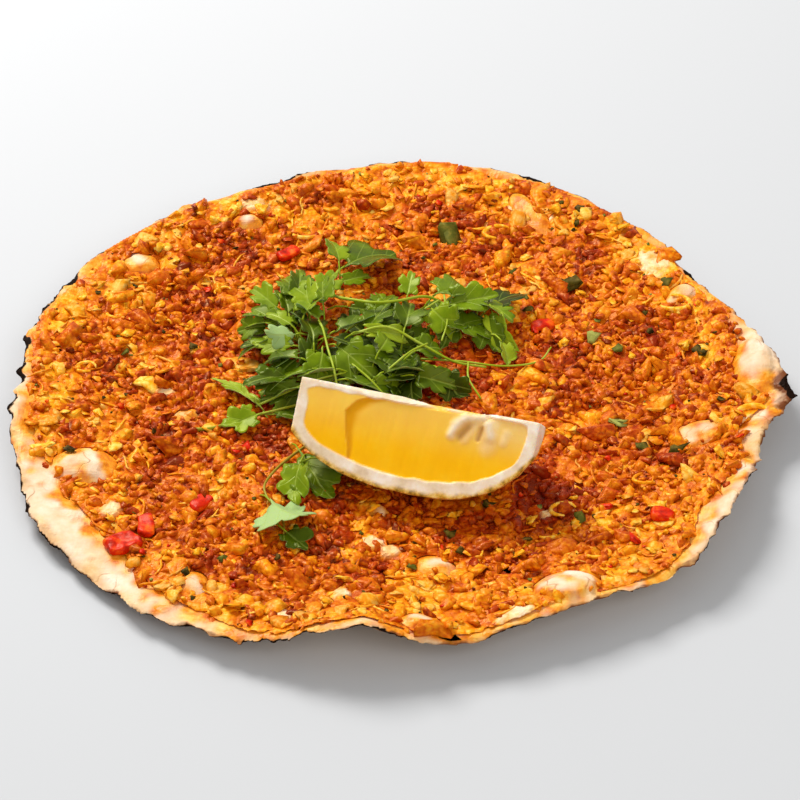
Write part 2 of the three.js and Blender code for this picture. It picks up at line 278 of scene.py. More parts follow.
class Recipe:
    """A node tree being filled. Each method adds a node and returns its output."""

    def __init__(self, tree):
        self.tree = tree

    def set(self, node, inputs):
        for name, value in inputs.items():
            if isinstance(value, bpy.types.NodeSocket):
                self.tree.links.new(value, node.inputs[name])
            else:
                node.inputs[name].default_value = value

    def add(self, kind, inputs, **options):
        made = self.tree.nodes.new(kind)
        for name, value in options.items():
            setattr(made, name, value)
        self.set(made, inputs)
        return made

    def sum(self, operation, *values, clamp=False):
        """Any one step of arithmetic."""
        inputs = dict(enumerate(values))
        return self.add("ShaderNodeMath", inputs, operation=operation, use_clamp=clamp).outputs[0]

    def ranged(self, value, low, high, to_low=0.0, to_high=1.0):
        ends = {"From Min": low, "From Max": high, "To Min": to_low, "To Max": to_high}
        return self.add("ShaderNodeMapRange", {"Value": value, **ends}).outputs[0]

    def noise(self, scale, detail, roughness=0.5, out="Fac"):
        inputs = {"Vector": self.place, "Scale": scale, "Detail": detail, "Roughness": roughness}
        return self.add("ShaderNodeTexNoise", inputs).outputs[out]

    def mix(self, share, one, other):
        return self.add("ShaderNodeMix", {0: share, 6: one, 7: other}, data_type="RGBA").outputs[2]

    def bump(self, strength, depth, height, invert=False):
        inputs = {"Strength": strength, "Distance": depth, "Height": height}
        return self.add("ShaderNodeBump", inputs, invert=invert).outputs[0]

    def ramp(self, value, *stops):
        """A colour ramp from stops that are a position and a colour each."""
        made = self.add("ShaderNodeValToRGB", {"Fac": value})
        first, last = made.color_ramp.elements
        first.color, last.color = color(*stops[0][1]), color(*stops[-1][1])
        for position, shade in stops[1:-1]:
            made.color_ramp.elements.new(position).color = color(*shade)
        return made.outputs["Color"]

    def read(self, name):
        """The number painted on the mesh under this name."""
        return self.add("ShaderNodeAttribute", {}, attribute_name=name).outputs["Fac"]

    def mottled(self, scale, dark, middle, light, contrast=1.0):
        inputs = {"Vector": self.place, "Scale": scale, "Contrast": contrast}
        inputs |= {"Dark": color(*dark), "Middle": color(*middle), "Light": color(*light)}
        return self.add("ShaderNodeGroup", inputs, node_tree=MOTTLE).outputs["Color"]

    def shade(self, **inputs):
        """Sets the Principled shader's inputs, with _ for a space, and returns the material."""
        shader = self.tree.nodes["Principled BSDF"]
        self.set(shader, {name.replace("_", " "): value for name, value in inputs.items()})
        return self.material


def new_material(name):
    material = bpy.data.materials.new(name)
    material.use_nodes = True
    recipe = Recipe(material.node_tree)
    recipe.material = material
    recipe.place = recipe.add("ShaderNodeTexCoord", {}).outputs["Object"]
    return recipe


# %% [markdown]
# Cooked food is never one flat colour. Nearly every finish here drifts between a dark, a middle
# and a light shade, so that is a node group, built once and used with each finish's own colours.


# %% The mottle group
def make_mottle():
    group = bpy.data.node_groups.new("mottle", "ShaderNodeTree")
    takes = [("Vector", "Vector"), ("Scale", "Float"), ("Dark", "Color"), ("Middle", "Color")]
    takes += [("Light", "Color"), ("Contrast", "Float")]
    for name, kind in takes:
        group.interface.new_socket(name, in_out="INPUT", socket_type="NodeSocket" + kind)
    group.interface.new_socket("Color", in_out="OUTPUT", socket_type="NodeSocketColor")
    recipe = Recipe(group)
    given = recipe.add("NodeGroupInput", {}).outputs
    recipe.place = given["Vector"]
    wander = recipe.sum("SUBTRACT", recipe.noise(given["Scale"], 4.0, 0.6), 0.5)
    wander = recipe.sum("MULTIPLY", recipe.sum("MULTIPLY", wander, 3.2), given["Contrast"])
    mask = recipe.sum("ADD", wander, 0.5, clamp=True)
    darker = recipe.mix(recipe.ranged(mask, 0.0, 0.5), given["Dark"], given["Middle"])
    lighter = recipe.mix(recipe.ranged(mask, 0.5, 1.0), darker, given["Light"])
    recipe.add("NodeGroupOutput", {"Color": lighter})
    return group


MOTTLE = make_mottle()
print("group:", MOTTLE.name)

# %% [markdown]
# ## The flatbread
# The dough was rolled thin by hand and baked in a very hot oven. Its edge puffed, wrinkled and
# caught fire in places. The frame's solid has its outline, its curl and its big blisters, but
# with flat facets. A voxel remesh turns a copy of it into an even net of small faces, a smooth
# takes the steps out of that, and the wrinkles are then moved in along the normals.

# %% Remesh the dough
bread = merged_copy("flatbread", "flatbread_baked")
smooth_net(bread, 1.15 * MM, 0.6, 5)
print("dough points:", len(bread.data.vertices))

# %% [markdown]
# Three distances decide what the baked dough looks like at a point: how far it is from the rim,
# how far from the meat, whose oil soaks in, and whether it faces down. They are measured once,
# used to shape the dough, and painted on the mesh for the material.


# %% Distances on the dough
def tree_of(piece):
    """A search tree of the piece's faces."""
    faces = [p.vertices for p in piece.data.polygons]
    return BVHTree.FromPolygons([v.co for v in piece.data.vertices], faces)


def seen_from_above(tree, x, y):
    """Where a plumb line at x and y first meets the tree's piece, and the way up there."""
    return tree.ray_cast(Vector((x, y, 0.1)), Vector((0, 0, -1)))[:2]


MEAT_SOLID = merged_copy("meat_spread", "meat_measure")
MEAT_TREE = tree_of(MEAT_SOLID)


def polar_of(points):
    """Angle in degrees from +X, and distance from the middle, of each point."""
    return np.degrees(np.arctan2(points[:, 1], points[:, 0])) % 360, np.hypot(*points[:, :2].T)


def rim_of(points, bins=360):
    """The outline as one radius per degree, from the farthest point in each direction."""
    angles, reach = polar_of(points)
    rim = np.zeros(bins)
    np.maximum.at(rim, angles.astype(int) % bins, reach)
    spread = np.concatenate([rim[-2:], rim, rim[:2]])
    return np.convolve(spread, np.ones(5) / 5, "valid")


RIM = rim_of(points_of(bread))


def inside_rim(points):
    """How far each point lies inside the outline."""
    angles, reach = polar_of(points)
    return np.interp(angles, np.arange(360), RIM, period=360) - reach


def from_meat(points):
    return np.array([MEAT_TREE.find_nearest(Vector(p))[3] for p in points])


bread_points = points_of(bread)
to_rim = inside_rim(bread_points)
to_meat = from_meat(bread_points)
faces_down = step(0.0, -0.35, normals_of(bread)[:, 2])
print("bare dough: %.0f%% of the points" % (100 * np.mean(to_meat > 3 * MM)))

# %% [markdown]
# Bare dough billows softly along the rim, and small bubbles rise under its skin. Under the meat
# none of that shows, so the relief fades out there. The very edge wanders in and out a little,
# because a torn, burnt rim is never a clean curve. At the left a few burnt tips stick out.


# %% Wrinkle the dough
TIPS = [
    (157, 1.0, 1.0), (178.3, 0.6, 1.6), (182.4, 0.7, 1.9), (186.5, 0.7, 1.2), (41, 0.8, 0.8),
    (31, 0.7, 0.9),
]


def wrinkle_dough(piece):
    points = points_of(piece)
    normals = normals_of(piece)
    bare = step(0.5 * MM, 3 * MM, to_meat) * (1 - faces_down)
    edge = step(6 * MM, 0, to_rim)
    billows = drift(points, 13 * MM, 11, 2)
    bubbles = step(0.5, 1.6, drift(points, 6 * MM, 12, 2))
    rise = bare * (0.4 * MM * billows + 0.6 * MM * bubbles)
    rise += faces_down * 0.25 * MM * drift(points, 5 * MM, 14, 2)
    moved = points + normals * rise[:, None]
    angles, _ = polar_of(points)
    outward = np.stack([np.cos(np.radians(angles)), np.sin(np.radians(angles)), 0 * angles], 1)
    flat = points * FLAT
    wander = 0.45 * drift(flat, 8 * MM, 15, 3) + 0.2 * drift(flat, 3 * MM, 16)
    moved += outward * (edge * (wander + around(angles, TIPS)) * MM)[:, None]
    moved[:, 2] += edge * 0.5 * MM * drift(flat, 12 * MM, 17, 2)
    moved[:, 2] = np.maximum(moved[:, 2], 0.02 * MM)
    move_points(piece, moved)


wrinkle_dough(bread)

# %% [markdown]
# The oven burns what stands up: parts of the rim are black, others only golden. The burnt
# stretches are listed by angle, with how wide and how strong each is, and a random field breaks
# them into spots. Towards the front only the underside of the rim caught the heat, and the tip
# of the horn at the right is burnt through. The same painting step marks where oil from the meat
# has soaked in, which at the back is right up to the edge.

# %% Paint the dough
BURNT = [
    (182, 5, 1.0), (172, 6, 0.8), (164, 5, 0.75), (156, 3, 1.3), (143, 6, 0.65), (116, 9, 0.85),
    (92, 7, 0.6), (66, 9, 0.9), (50, 5, 0.65), (42, 1.5, 1.1), (31, 1.5, 1.0), (199, 5, 0.6), (206, 2, 0.8),
    (356, 1.6, 1.4),
]
BURNT_BELOW = [
    (250, 8, 1.15), (237, 3, 1.3), (224, 6, 0.85), (213, 5, 0.9), (204, 4, 1.0), (192, 5, 1.0),
    (266, 6, 0.9), (285, 7, 0.8), (305, 6, 0.7), (320, 6, 0.8), (334, 4, 0.7),
]
HORN_TIP = (133, -8)
TOASTED = [(254, 13, 0.9), (284, 14, 0.7), (308, 8, 0.5), (100, 30, 0.4)]
SOAKED = [(62, 13, 0.95), (38, 9, 0.8), (92, 12, 0.8)]


def paint_dough(piece):
    points = points_of(piece)
    angles, _ = polar_of(points)
    heat = around(angles, BURNT)
    ragged = drift(points, 5 * MM, 21, 3)
    sideways = step(0.85, 0.4, normals_of(piece)[:, 2])
    char = heat * step(2.2 * MM, 0.2 * MM, to_rim - 0.9 * MM * ragged * heat)
    low = around(angles, BURNT_BELOW) * step(0.8, 0.3, normals_of(piece)[:, 2])
    char = np.maximum(char, low * step(3 * MM, 0.8 * MM, to_rim))
    horn = np.hypot(points[:, 0] - HORN_TIP[0] * MM, points[:, 1] - HORN_TIP[1] * MM)
    char = np.maximum(char, 1.3 * step(7 * MM, 3.5 * MM, horn + 1.2 * MM * ragged))
    toast = step(-0.2, 1.2, drift(points, 16 * MM, 22, 2) + step(6 * MM, 0, to_rim) - 0.3)
    toast = np.maximum(toast, around(angles, TOASTED) * step(14 * MM, 3 * MM, to_rim))
    scorch = np.maximum(faces_down * (0.3 + 0.7 * heat), sideways * (0.75 + 0.3 * ragged))
    scorch = np.maximum(scorch, 0.66 * step(1.5 * MM, -0.3 * MM, to_rim - 0.6 * MM * ragged))
    scorch = np.maximum(scorch, step(15 * MM, 6 * MM, horn + 2 * MM * ragged))
    paint(piece, "char", np.clip(char, 0, 1))
    paint(piece, "toast", toast)
    paint(piece, "scorch", np.clip(scorch, 0, 1) * step(12 * MM, 2.5 * MM, to_rim))
    oil = step(7 * MM, 0.4 * MM, to_meat + 3.2 * MM * drift(points, 6 * MM, 23, 2))
    paint(piece, "oil", np.maximum(oil, around(angles, SOAKED) * (1 - faces_down)))
    paint(piece, "down", faces_down)


paint_dough(bread)


# %% [markdown]
# Pale, floury dough is cream. It goes golden where it toasted, orange where oil soaked in, and
# leopard-spotted brown underneath, where it lay on the oven's stone floor. Thin creases wander
# over the bare parts, darker with painted shade: they are the places where a smooth noise passes
# through its middle value.
# Burnt spots have sharp, torn outlines, so noise is added to the painted masks before they are
# cut. Char is soot, which reflects almost nothing.


# %% Baked dough material
def baked_dough():
    recipe = new_material("baked_dough")
    mix, read = recipe.mix, recipe.read
    pale = recipe.mottled(110, (222, 182, 138), (236, 205, 170), (243, 221, 196), 0.9)
    golden = recipe.mottled(160, (204, 132, 52), (232, 178, 98), (246, 210, 146))
    oily = recipe.mottled(200, (206, 100, 8), (238, 148, 24), (248, 188, 80))
    middle = recipe.sum("ABSOLUTE", recipe.sum("SUBTRACT", recipe.noise(95, 1.5), 0.5))
    shown = recipe.ranged(recipe.noise(60, 2), 0.46, 0.56)
    crease = recipe.sum("MULTIPLY", recipe.ranged(middle, 0, 0.018, 0.85, 0), shown)
    spots = recipe.sum("MULTIPLY", recipe.ranged(recipe.noise(75, 3), 0.56, 0.68), read("down"))
    # Painted shade in the creases: the crease lines are mixed towards a darker brown.
    base = mix(crease, pale, color(178, 130, 92))
    base = mix(recipe.sum("MULTIPLY", read("toast"), 0.6), base, golden)
    base = mix(read("oil"), base, oily)
    base = mix(read("down"), base, mix(0.35, pale, golden))
    base = mix(spots, base, color(120, 64, 24))
    torn = recipe.sum("ADD", recipe.noise(320, 3), -0.5)
    scorch = recipe.ranged(recipe.sum("MULTIPLY_ADD", torn, 0.8, read("scorch")), 0.3, 0.8)
    char = recipe.ranged(recipe.sum("MULTIPLY_ADD", torn, 0.8, read("char")), 0.42, 0.6)
    base = mix(scorch, base, color(112, 56, 18))
    return recipe.shade(
        Base_Color=mix(char, base, color(24, 11, 5)),
        Roughness=recipe.ranged(read("oil"), 0, 1, 0.75, 0.38),
        Normal=recipe.bump(0.5, 0.35 * MM, recipe.sum("SUBTRACT", recipe.noise(600, 3), crease)),
        Specular_IOR_Level=recipe.ranged(char, 0, 1, 0.28, 0.03),
        Specular_Tint=(1.0, 0.86, 0.7, 1.0),
        Subsurface_Weight=0.06,
        Subsurface_Radius=(1.0, 0.6, 0.3),
        Subsurface_Scale=1.5 * MM,
    )


finish(bread, baked_dough(), "baked_dough", "flatbread")
BREAD_TREE = tree_of(bread)

# %% [markdown]
# ## The minced meat
# The topping is a skin of finely minced meat, tomato and onion in orange oil, about as thick as
# two crumbs. It is made in two steps: a core with a rough, crumbly top, then thousands of loose
# crumbs laid on it. The core fills the gaps between crumbs with oily meat, painted dark as
# painted shade, and never lets the dough show through where it shouldn't.
#
# The topping isn't even. Thick brown drifts lie in some places, listed one by one below. Between
# them and towards the rim it is thin, golden and oily. Here and there it is missing, and bare
# dough shows as a pale patch. Under the lemon and among the herbs the meat is painted darker and
# redder: painted shadow, reddened as sauce reddens it.

# %% Drifts, bare patches and painted shadow with sauce
DRIFTS = [
    (-66, -5, 30, 1.0), (64, 2, 34, 0.95), (-50, -64, 24, 0.75), (-74, 58, 26, 0.8), (4, -74, 18, 0.45),
    (55, 48, 24, 0.5), (-4, 78, 22, 0.4), (-104, 12, 14, 0.35), (84, -28, 18, 0.45), (30, 84, 18, 0.4),
    (-30, -92, 14, 0.5),
]
PATCHES = [
    (35, -118, 6.5), (-39, -116, 4.5), (-81, 0, 3.5), (-73, -11, 4.5), (-11, -76, 4.5), (-5, -80, 4),
    (46, -62, 2.6), (43, 102, 5), (50, 94, 5), (88, 67, 8), (116, -24, 5), (-54, 100, 5), (-96, -60, 4),
    (60, -98, 4), (-20, -104, 3.5),
]


# Blobs of painted shadow, each x, y, half width and strength: darker, redder meat under the lemon and among
# the parsley.
SHADE_AND_SAUCE = [
    (42, -51, 15, 1.6), (24, -60, 10, 1.0), (-22, -48, 10, 0.6), (-20, 44, 12, 0.4), (-4, 28, 16, 0.8),
    (4, 6, 20, 0.9), (-34, 6, 16, 0.8), (-46, -24, 10, 0.6), (30, 24, 8, 0.5), (-40, -44, 8, 0.5),
]


def field_of(points, blobs):
    """The strongest of some (x, y, half width, strength) blobs at each point."""
    total = np.zeros(len(points))
    for x, y, spread, strength in blobs:
        away = np.hypot(points[:, 0] - x * MM, points[:, 1] - y * MM) / (spread * MM)
        total = np.maximum(total, strength * np.exp(-(away**2)))
    return total


def lean(points):
    """0 where the meat lies thick and brown, 1 where it is thin, oily and golden."""
    flat = points * FLAT
    thick = field_of(points, DRIFTS)
    near_rim = step(28 * MM, 7 * MM, inside_rim(points))
    wild = 0.33 * drift(flat, 20 * MM, 41, 2) + 0.26 * drift(flat, 7 * MM, 42)
    return np.clip(0.56 - 0.66 * thick + wild + 0.34 * near_rim, 0, 1)


def clumping(points):
    """Paler and darker clumps, a few crumbs across, added to the tone of everything in them."""
    flat = points * FLAT
    return 0.07 * drift(flat, 4.5 * MM, 44) + 0.06 * drift(flat, 12 * MM, 45, 2)


def shade_and_sauce(points):
    return field_of(points, SHADE_AND_SAUCE)


def around_patches(points):
    return field_of(points, [(x, y, spread, 1.6) for x, y, spread in PATCHES])


def bareness(points):
    """1 in the bare patches, with ragged edges."""
    flat = points * FLAT
    ragged = 0.32 * drift(flat, 4 * MM, 43, 2)
    patches = around_patches(points)
    return step(0.75, 1.05, patches + ragged * step(0.1, 0.7, patches))


# %% A field of crumbs as relief
def cells(points, spacing, seed):
    """For each point, the distance to the nearest random cell centre, and a number per cell."""
    rng = np.random.default_rng(seed)
    low, high = points.min(0) - spacing, points.max(0) + spacing
    count = int(np.prod((high - low)[:2]) / spacing**2)
    centres = np.column_stack([rng.uniform(low[i], high[i], count) for i in (0, 1)])
    tree = KDTree(count)
    for index, (x, y) in enumerate(centres):
        tree.insert((x, y, 0), index)
    tree.balance()
    found = [tree.find((p[0], p[1], 0)) for p in points]
    return np.array([f[2] for f in found]), rng.uniform(0, 1, count)[[f[1] for f in found]]


# %% The core of the spread
core = MEAT_SOLID
core.name = "meat_core"
smooth_net(core, 1.06 * MM, 0.5, 3)


def crumble(piece):
    """Sinks the core's top between the crumbs, and paints each crumb its own tone, with painted shade in
    the gaps between them.
    """
    points = points_of(piece)
    up = step(0.2, 0.7, normals_of(piece)[:, 2])
    away, shade = cells(points, 3.2 * MM, 31)
    dome = np.sqrt(np.clip(1 - (away / (2.5 * MM)) ** 2, 0, 1))
    bare, thin = bareness(points), lean(points)
    rough = (1 - 0.85 * bare) * (1 - 0.6 * thin)
    clumps = 0.35 * MM * drift(points, 7 * MM, 34, 2)
    sink = rough * (1.4 * MM * (1 - dome) + 0.3 * MM * drift(points, 1.8 * MM, 32) + clumps) + 0.1 * MM
    sink -= bare * 0.4 * MM
    thick = step(0, 6 * MM, inside_rim(points))
    move_points(piece, points - np.outer(up * thick * sink, (0, 0, 1)))
    # Painted light and shade: the top of each dome is paler, the gaps between them darker.
    own = 0.22 * (shade - 0.5) + 0.2 * (dome - 0.6) * (1 - 0.4 * thin)
    halo = step(0.25, 0.9, around_patches(points))
    # Painted shadow under the lemon and the parsley: lower tone and a redder warm there.
    tone = 0.29 + own + 0.41 * thin - 0.3 * shade_and_sauce(points) + 0.25 * halo + clumping(points)
    paint(piece, "tone", np.clip(tone, 0, 1))
    paint(piece, "warm", np.clip(0.35 + 0.4 * drift(points, 9 * MM, 33) + 0.4 * shade_and_sauce(points), 0, 1))
    paint(piece, "bare", bare)


crumble(core)
CORE_TREE = tree_of(core)
print("core points:", len(core.data.vertices))

# %% [markdown]
# ### The crumbs
# Minced meat leaves the mincer as short crooked worms. Seven of them are modelled from one small
# ball each: stretched, then its points shaken, all in edit mode. Each is then bent in code. They
# stay at 48 triangles, because thousands of copies follow. Onion shows as flat flakes, made the
# same way but squashed.


# %% Model the crumb shapes
def take_shape(piece):
    """The points and triangles of a small piece, which is then thrown away."""
    piece.data.calc_loop_triangles()
    triangles = np.array([t.vertices[:] for t in piece.data.loop_triangles])
    points = points_of(piece)
    bpy.data.objects.remove(piece)
    return points, triangles


def crumb_shape(seed, length, bend, thick, shake, sides):
    """One crumb, a unit wide and this long, lying along X."""
    bpy.ops.object.select_all(action="DESELECT")
    bpy.ops.mesh.primitive_uv_sphere_add(segments=sides, ring_count=4, radius=0.5)
    piece = bpy.context.object
    bpy.ops.object.mode_set(mode="EDIT")
    bpy.ops.mesh.select_all(action="SELECT")
    bpy.ops.transform.rotate(value=math.pi / 2, orient_axis="Y", center_override=(0, 0, 0))
    bpy.ops.transform.resize(value=(length, 1.0, 1.0))
    bpy.ops.transform.vertex_random(offset=shake, uniform=0.5, seed=seed)
    bpy.ops.transform.resize(value=(1.0, 1.0, thick))
    bpy.ops.object.mode_set(mode="OBJECT")
    points, triangles = take_shape(piece)
    points[:, 1] += bend * (points[:, 0] ** 2 - 0.12 * length**2) / length
    points[:, 2] += 0.3 * bend * np.sin(2.2 * points[:, 0] + seed)
    return points, triangles


def crumb_shapes(first_seed, thick, shake, sides, rows):
    """A family of shapes, each row a length and a bend."""
    return [crumb_shape(first_seed + index, *row, thick, shake, sides) for index, row in enumerate(rows)]


CRUMB_BENDS = [(1.1, 0.2), (1.4, 0.8), (1.7, -0.7), (2.1, 1.0), (1.3, 0.0), (2.4, -1.1), (1.6, 1.2)]
CRUMB_SHAPES = crumb_shapes(0, 0.85, 0.22, 8, CRUMB_BENDS)
FLAKE_BENDS = [(1.2, 0.3), (1.7, -0.5), (1.4, 0.9), (2.2, 0.6), (1.9, -0.9)]
FLAKE_SHAPES = crumb_shapes(20, 0.24, 0.16, 10, FLAKE_BENDS)
BIT_SHAPES = crumb_shapes(40, 0.34, 0.3, 10, [(1.0, 0.4), (1.3, -0.6), (1.1, 0.9), (1.5, 0.6)])
print("shapes:", len(CRUMB_SHAPES), "crumbs,", len(FLAKE_SHAPES), "flakes and", len(BIT_SHAPES), "bits")


# %% [markdown]
# Grated cheese-like threads of onion and fat run between the crumbs. Each is a thin tube along a
# curl. The same tube function later makes the stalks of the parsley.


# %% Tubes along a path
def tube(path, radii, sides=6):
    """Points and triangles of a closed tube along the path, whose radius changes with it."""
    path = np.asarray(path, float)
    radii = np.broadcast_to(radii, len(path))
    along = np.gradient(path, axis=0)
    along /= np.linalg.norm(along, axis=1)[:, None]
    side = np.cross(along, (0.05, 0.08, 1.0))
    side /= np.linalg.norm(side, axis=1)[:, None]
    up = np.cross(side, along)
    turn = np.linspace(0, 2 * math.pi, sides, endpoint=False)
    ring = np.cos(turn)[None, :, None] * side[:, None] + np.sin(turn)[None, :, None] * up[:, None]
    points = (path[:, None] + ring * radii[:, None, None]).reshape(-1, 3)
    points = np.concatenate([points, path[:1] - along[:1] * radii[0], path[-1:] + along[-1:] * radii[-1]])
    first = (np.arange(len(path) - 1) * sides)[:, None] + np.arange(sides)
    second = (np.arange(len(path) - 1) * sides)[:, None] + (np.arange(sides) + 1) % sides
    sheets = [np.stack([first, second, second + sides], -1)]
    sheets += [np.stack([first, second + sides, first + sides], -1)]
    start, end = len(points) - 2, len(points) - 1
    ring_at = np.arange(sides)
    last = (len(path) - 1) * sides
    caps = [
        np.column_stack([np.full(sides, start), (ring_at + 1) % sides, ring_at]),
        np.column_stack([np.full(sides, end), last + ring_at, last + (ring_at + 1) % sides]),
    ]
    triangles = np.concatenate([s.reshape(-1, 3) for s in sheets] + caps)
    return points, triangles


def thread_shape(seed):
    """A curled thread, a unit thick and 7 to 12 units long."""
    rng = np.random.default_rng(seed)
    length, pieces = rng.uniform(7, 12), 9
    heading = np.cumsum(rng.normal(rng.uniform(-0.25, 0.25), 0.28, pieces))
    steps = length / pieces * np.column_stack([np.cos(heading), np.sin(heading), 0 * heading])
    path = np.concatenate([[(0, 0, 0)], np.cumsum(steps, 0)])
    path -= path.mean(0)
    path[:, 2] = 0.25 * np.sin(np.linspace(0, rng.uniform(2, 6), len(path)))
    return tube(path, 0.5 * np.sin(np.linspace(0.5, math.pi - 0.5, len(path))), 5)


THREAD_SHAPES = [thread_shape(seed) for seed in range(200, 210)]
print("threads of", len(THREAD_SHAPES[0][1]), "triangles")


# %% [markdown]
# ### Laying them down
# A jittered grid gives an even cover with no rows. Each grid point is dropped onto whatever is
# highest there. On meat it stays. On bare dough it stays only close to the meat, so that a few
# crumbs stray over the foot of each blister and soften its outline. A `share` function thins a
# kind out where the real topping has less of it.


# %% Drop points on the meat
STRAY = 2.8 * MM


def drop(spacing, seed, share, margin, even):
    """Places on the meat and the way up there, of the relief or, if even, of the plain solid."""
    rng = np.random.default_rng(seed)
    low, high = FRAME_BOX
    xs = np.arange(low[0], high[0], spacing)
    ys = np.arange(low[1], high[1], spacing)
    grid = np.stack(np.meshgrid(xs, ys), -1).reshape(-1, 2)
    grid = grid + rng.uniform(-0.55, 0.55, grid.shape) * spacing
    flat = np.column_stack([grid, np.zeros(len(grid))])
    margin = margin + 0.8 * MM * step(10 * MM, 80 * MM, flat[:, 1])
    kept = (inside_rim(flat) > margin) & (rng.uniform(0.2, 0.9, len(grid)) > bareness(flat))
    kept &= rng.uniform(0, 1, len(grid)) < share(flat)
    places, normals = [], []
    for (x, y), reach in zip(grid[kept], rng.uniform(-0.4, 1, kept.sum()) * STRAY):
        place, normal = seen_from_above(CORE_TREE, x, y)
        on_dough = seen_from_above(BREAD_TREE, x, y)
        if place is None or (on_dough[0] is not None and on_dough[0].z > place.z):
            place, normal = on_dough
            if even or place is None or MEAT_TREE.find_nearest(place)[3] > reach:
                continue
        places.append(place)
        smooth = seen_from_above(MEAT_TREE, x, y)[1] if even else None
        normals.append(normal if smooth is None else smooth)
    normals = np.array(normals)
    normals[:, 2] = np.maximum(normals[:, 2], 2 if even else 0.7)
    return np.array(places), normals / np.linalg.norm(normals, axis=1)[:, None]


def lay(name, shapes, places, normals, widths, seed, tilt, sink):
    """Joins one turned and scaled copy of a random shape at each place into one piece."""
    rng = np.random.default_rng(seed)
    count = len(places)
    kinds = rng.integers(0, len(shapes), count)
    up = normals + rng.normal(0, tilt, (count, 3))
    up /= np.linalg.norm(up, axis=1)[:, None]
    along = rng.normal(size=(count, 3))
    along -= up * (along * up).sum(1)[:, None]
    along /= np.linalg.norm(along, axis=1)[:, None]
    turn = np.stack([along, np.cross(up, along), up], 2)
    all_points, all_triangles, owners, painted_top_light = [], [], [], []
    filled = 0
    for kind, (shape, triangles) in enumerate(shapes):
        mine = np.flatnonzero(kinds == kind)
        local = shape[None] * widths[mine, None, None]
        world = np.einsum("nij,nkj->nki", turn[mine], local)
        lifted = places[mine] + normals[mine] * (widths[mine, None] * sink)
        world += lifted[:, None]
        world[:, :, 2] = np.maximum(world[:, :, 2], places[mine, None, 2] - 1.2 * MM)
        flat = world.reshape(-1, 3)
        beyond = np.maximum(0.6 * MM - inside_rim(flat), 0) / np.hypot(flat[:, 0], flat[:, 1])
        world[:, :, :2] *= 1 - beyond.reshape(len(mine), -1, 1)
        starts = filled + len(shape) * np.arange(len(mine))
        all_points.append(world.reshape(-1, 3))
        all_triangles.append((triangles[None] + starts[:, None, None]).reshape(-1, 3))
        owners.append(np.repeat(mine, len(shape)))
        # Each point's height in its crumb, kept to paint the top paler and the foot darker: painted light
        # and shade.
        painted_top_light.append(np.tile(shape[:, 2] / np.abs(shape[:, 2]).max(), len(mine)))
        filled += len(shape) * len(mine)
    piece = mesh_of(name, np.concatenate(all_points), np.concatenate(all_triangles))
    return piece, np.concatenate(owners), np.concatenate(painted_top_light)


# %% [markdown]
# Each kind has a size, how much its size varies, and two tones: the usual one where the meat is
# thick, and the one where it is lean. Sizes vary a lot, as a cook's knife leaves them. The top of
# each crumb is painted paler and its foot darker: painted light and shade.


# %% Brown, orange, golden and fine crumbs, flakes and threads
def lay_kind(name, shapes, spacing, seed, share, size, tones, sink, tilt=0.35, large=False):
    margin = 6 * MM if large else 2.4 * MM
    places, normals = drop(spacing, seed, share, margin, large)
    rng = np.random.default_rng(seed + 1)
    widths = np.clip(size[0] * np.exp(rng.normal(0, size[1], len(places))), 0.8, 7) * MM
    piece, owners, painted_top_light = lay(name, shapes, places, normals, widths, seed + 2, tilt, sink)
    # Painted shadow under the lemon and the parsley darkens the crumbs there.
    tone = tones[0] + (tones[1] - tones[0]) * lean(places) - 0.25 * shade_and_sauce(places)
    tone = np.clip(rng.normal(tone + clumping(places), 0.13), 0, 1)
    # Painted light and shade: the top of each crumb paler, its foot darker.
    paint(piece, "tone", np.clip(tone[owners] + 0.15 * painted_top_light - 0.04, 0, 1))
    paint(piece, "warm", np.clip(rng.uniform(0, 1, len(places)) + 0.4 * shade_and_sauce(places), 0, 1)[owners])
    print(name, len(places), "pieces")
    return piece


def mostly_thick(points):
    return 0.95 - 0.9 * lean(points)


def everywhere(points):
    return 0.8 - 0.5 * lean(points)


def mostly_lean(points):
    return 0.25 + 0.75 * lean(points)


KINDS = [
    ("crumbs_brown", CRUMB_SHAPES, 3.1 * MM, 100, mostly_thick, (2.4, 0.36), (0.36, 0.48), -0.08),
    ("crumbs_orange", CRUMB_SHAPES, 4.2 * MM, 110, everywhere, (2.9, 0.42), (0.44, 0.68), -0.18),
    ("crumbs_fine", CRUMB_SHAPES, 4.6 * MM, 120, everywhere, (1.5, 0.25), (0.4, 0.7), 0.15),
    ("onion_flakes", FLAKE_SHAPES, 6 * MM, 130, mostly_lean, (3.1, 0.36), (0.62, 0.86), 0.05, 0.16, True),
    ("onion_threads", THREAD_SHAPES, 11 * MM, 140, mostly_lean, (0.88, 0.15), (0.6, 0.8), 0.2, 0.06, True),
]
crumbs = [lay_kind(*kind) for kind in KINDS]
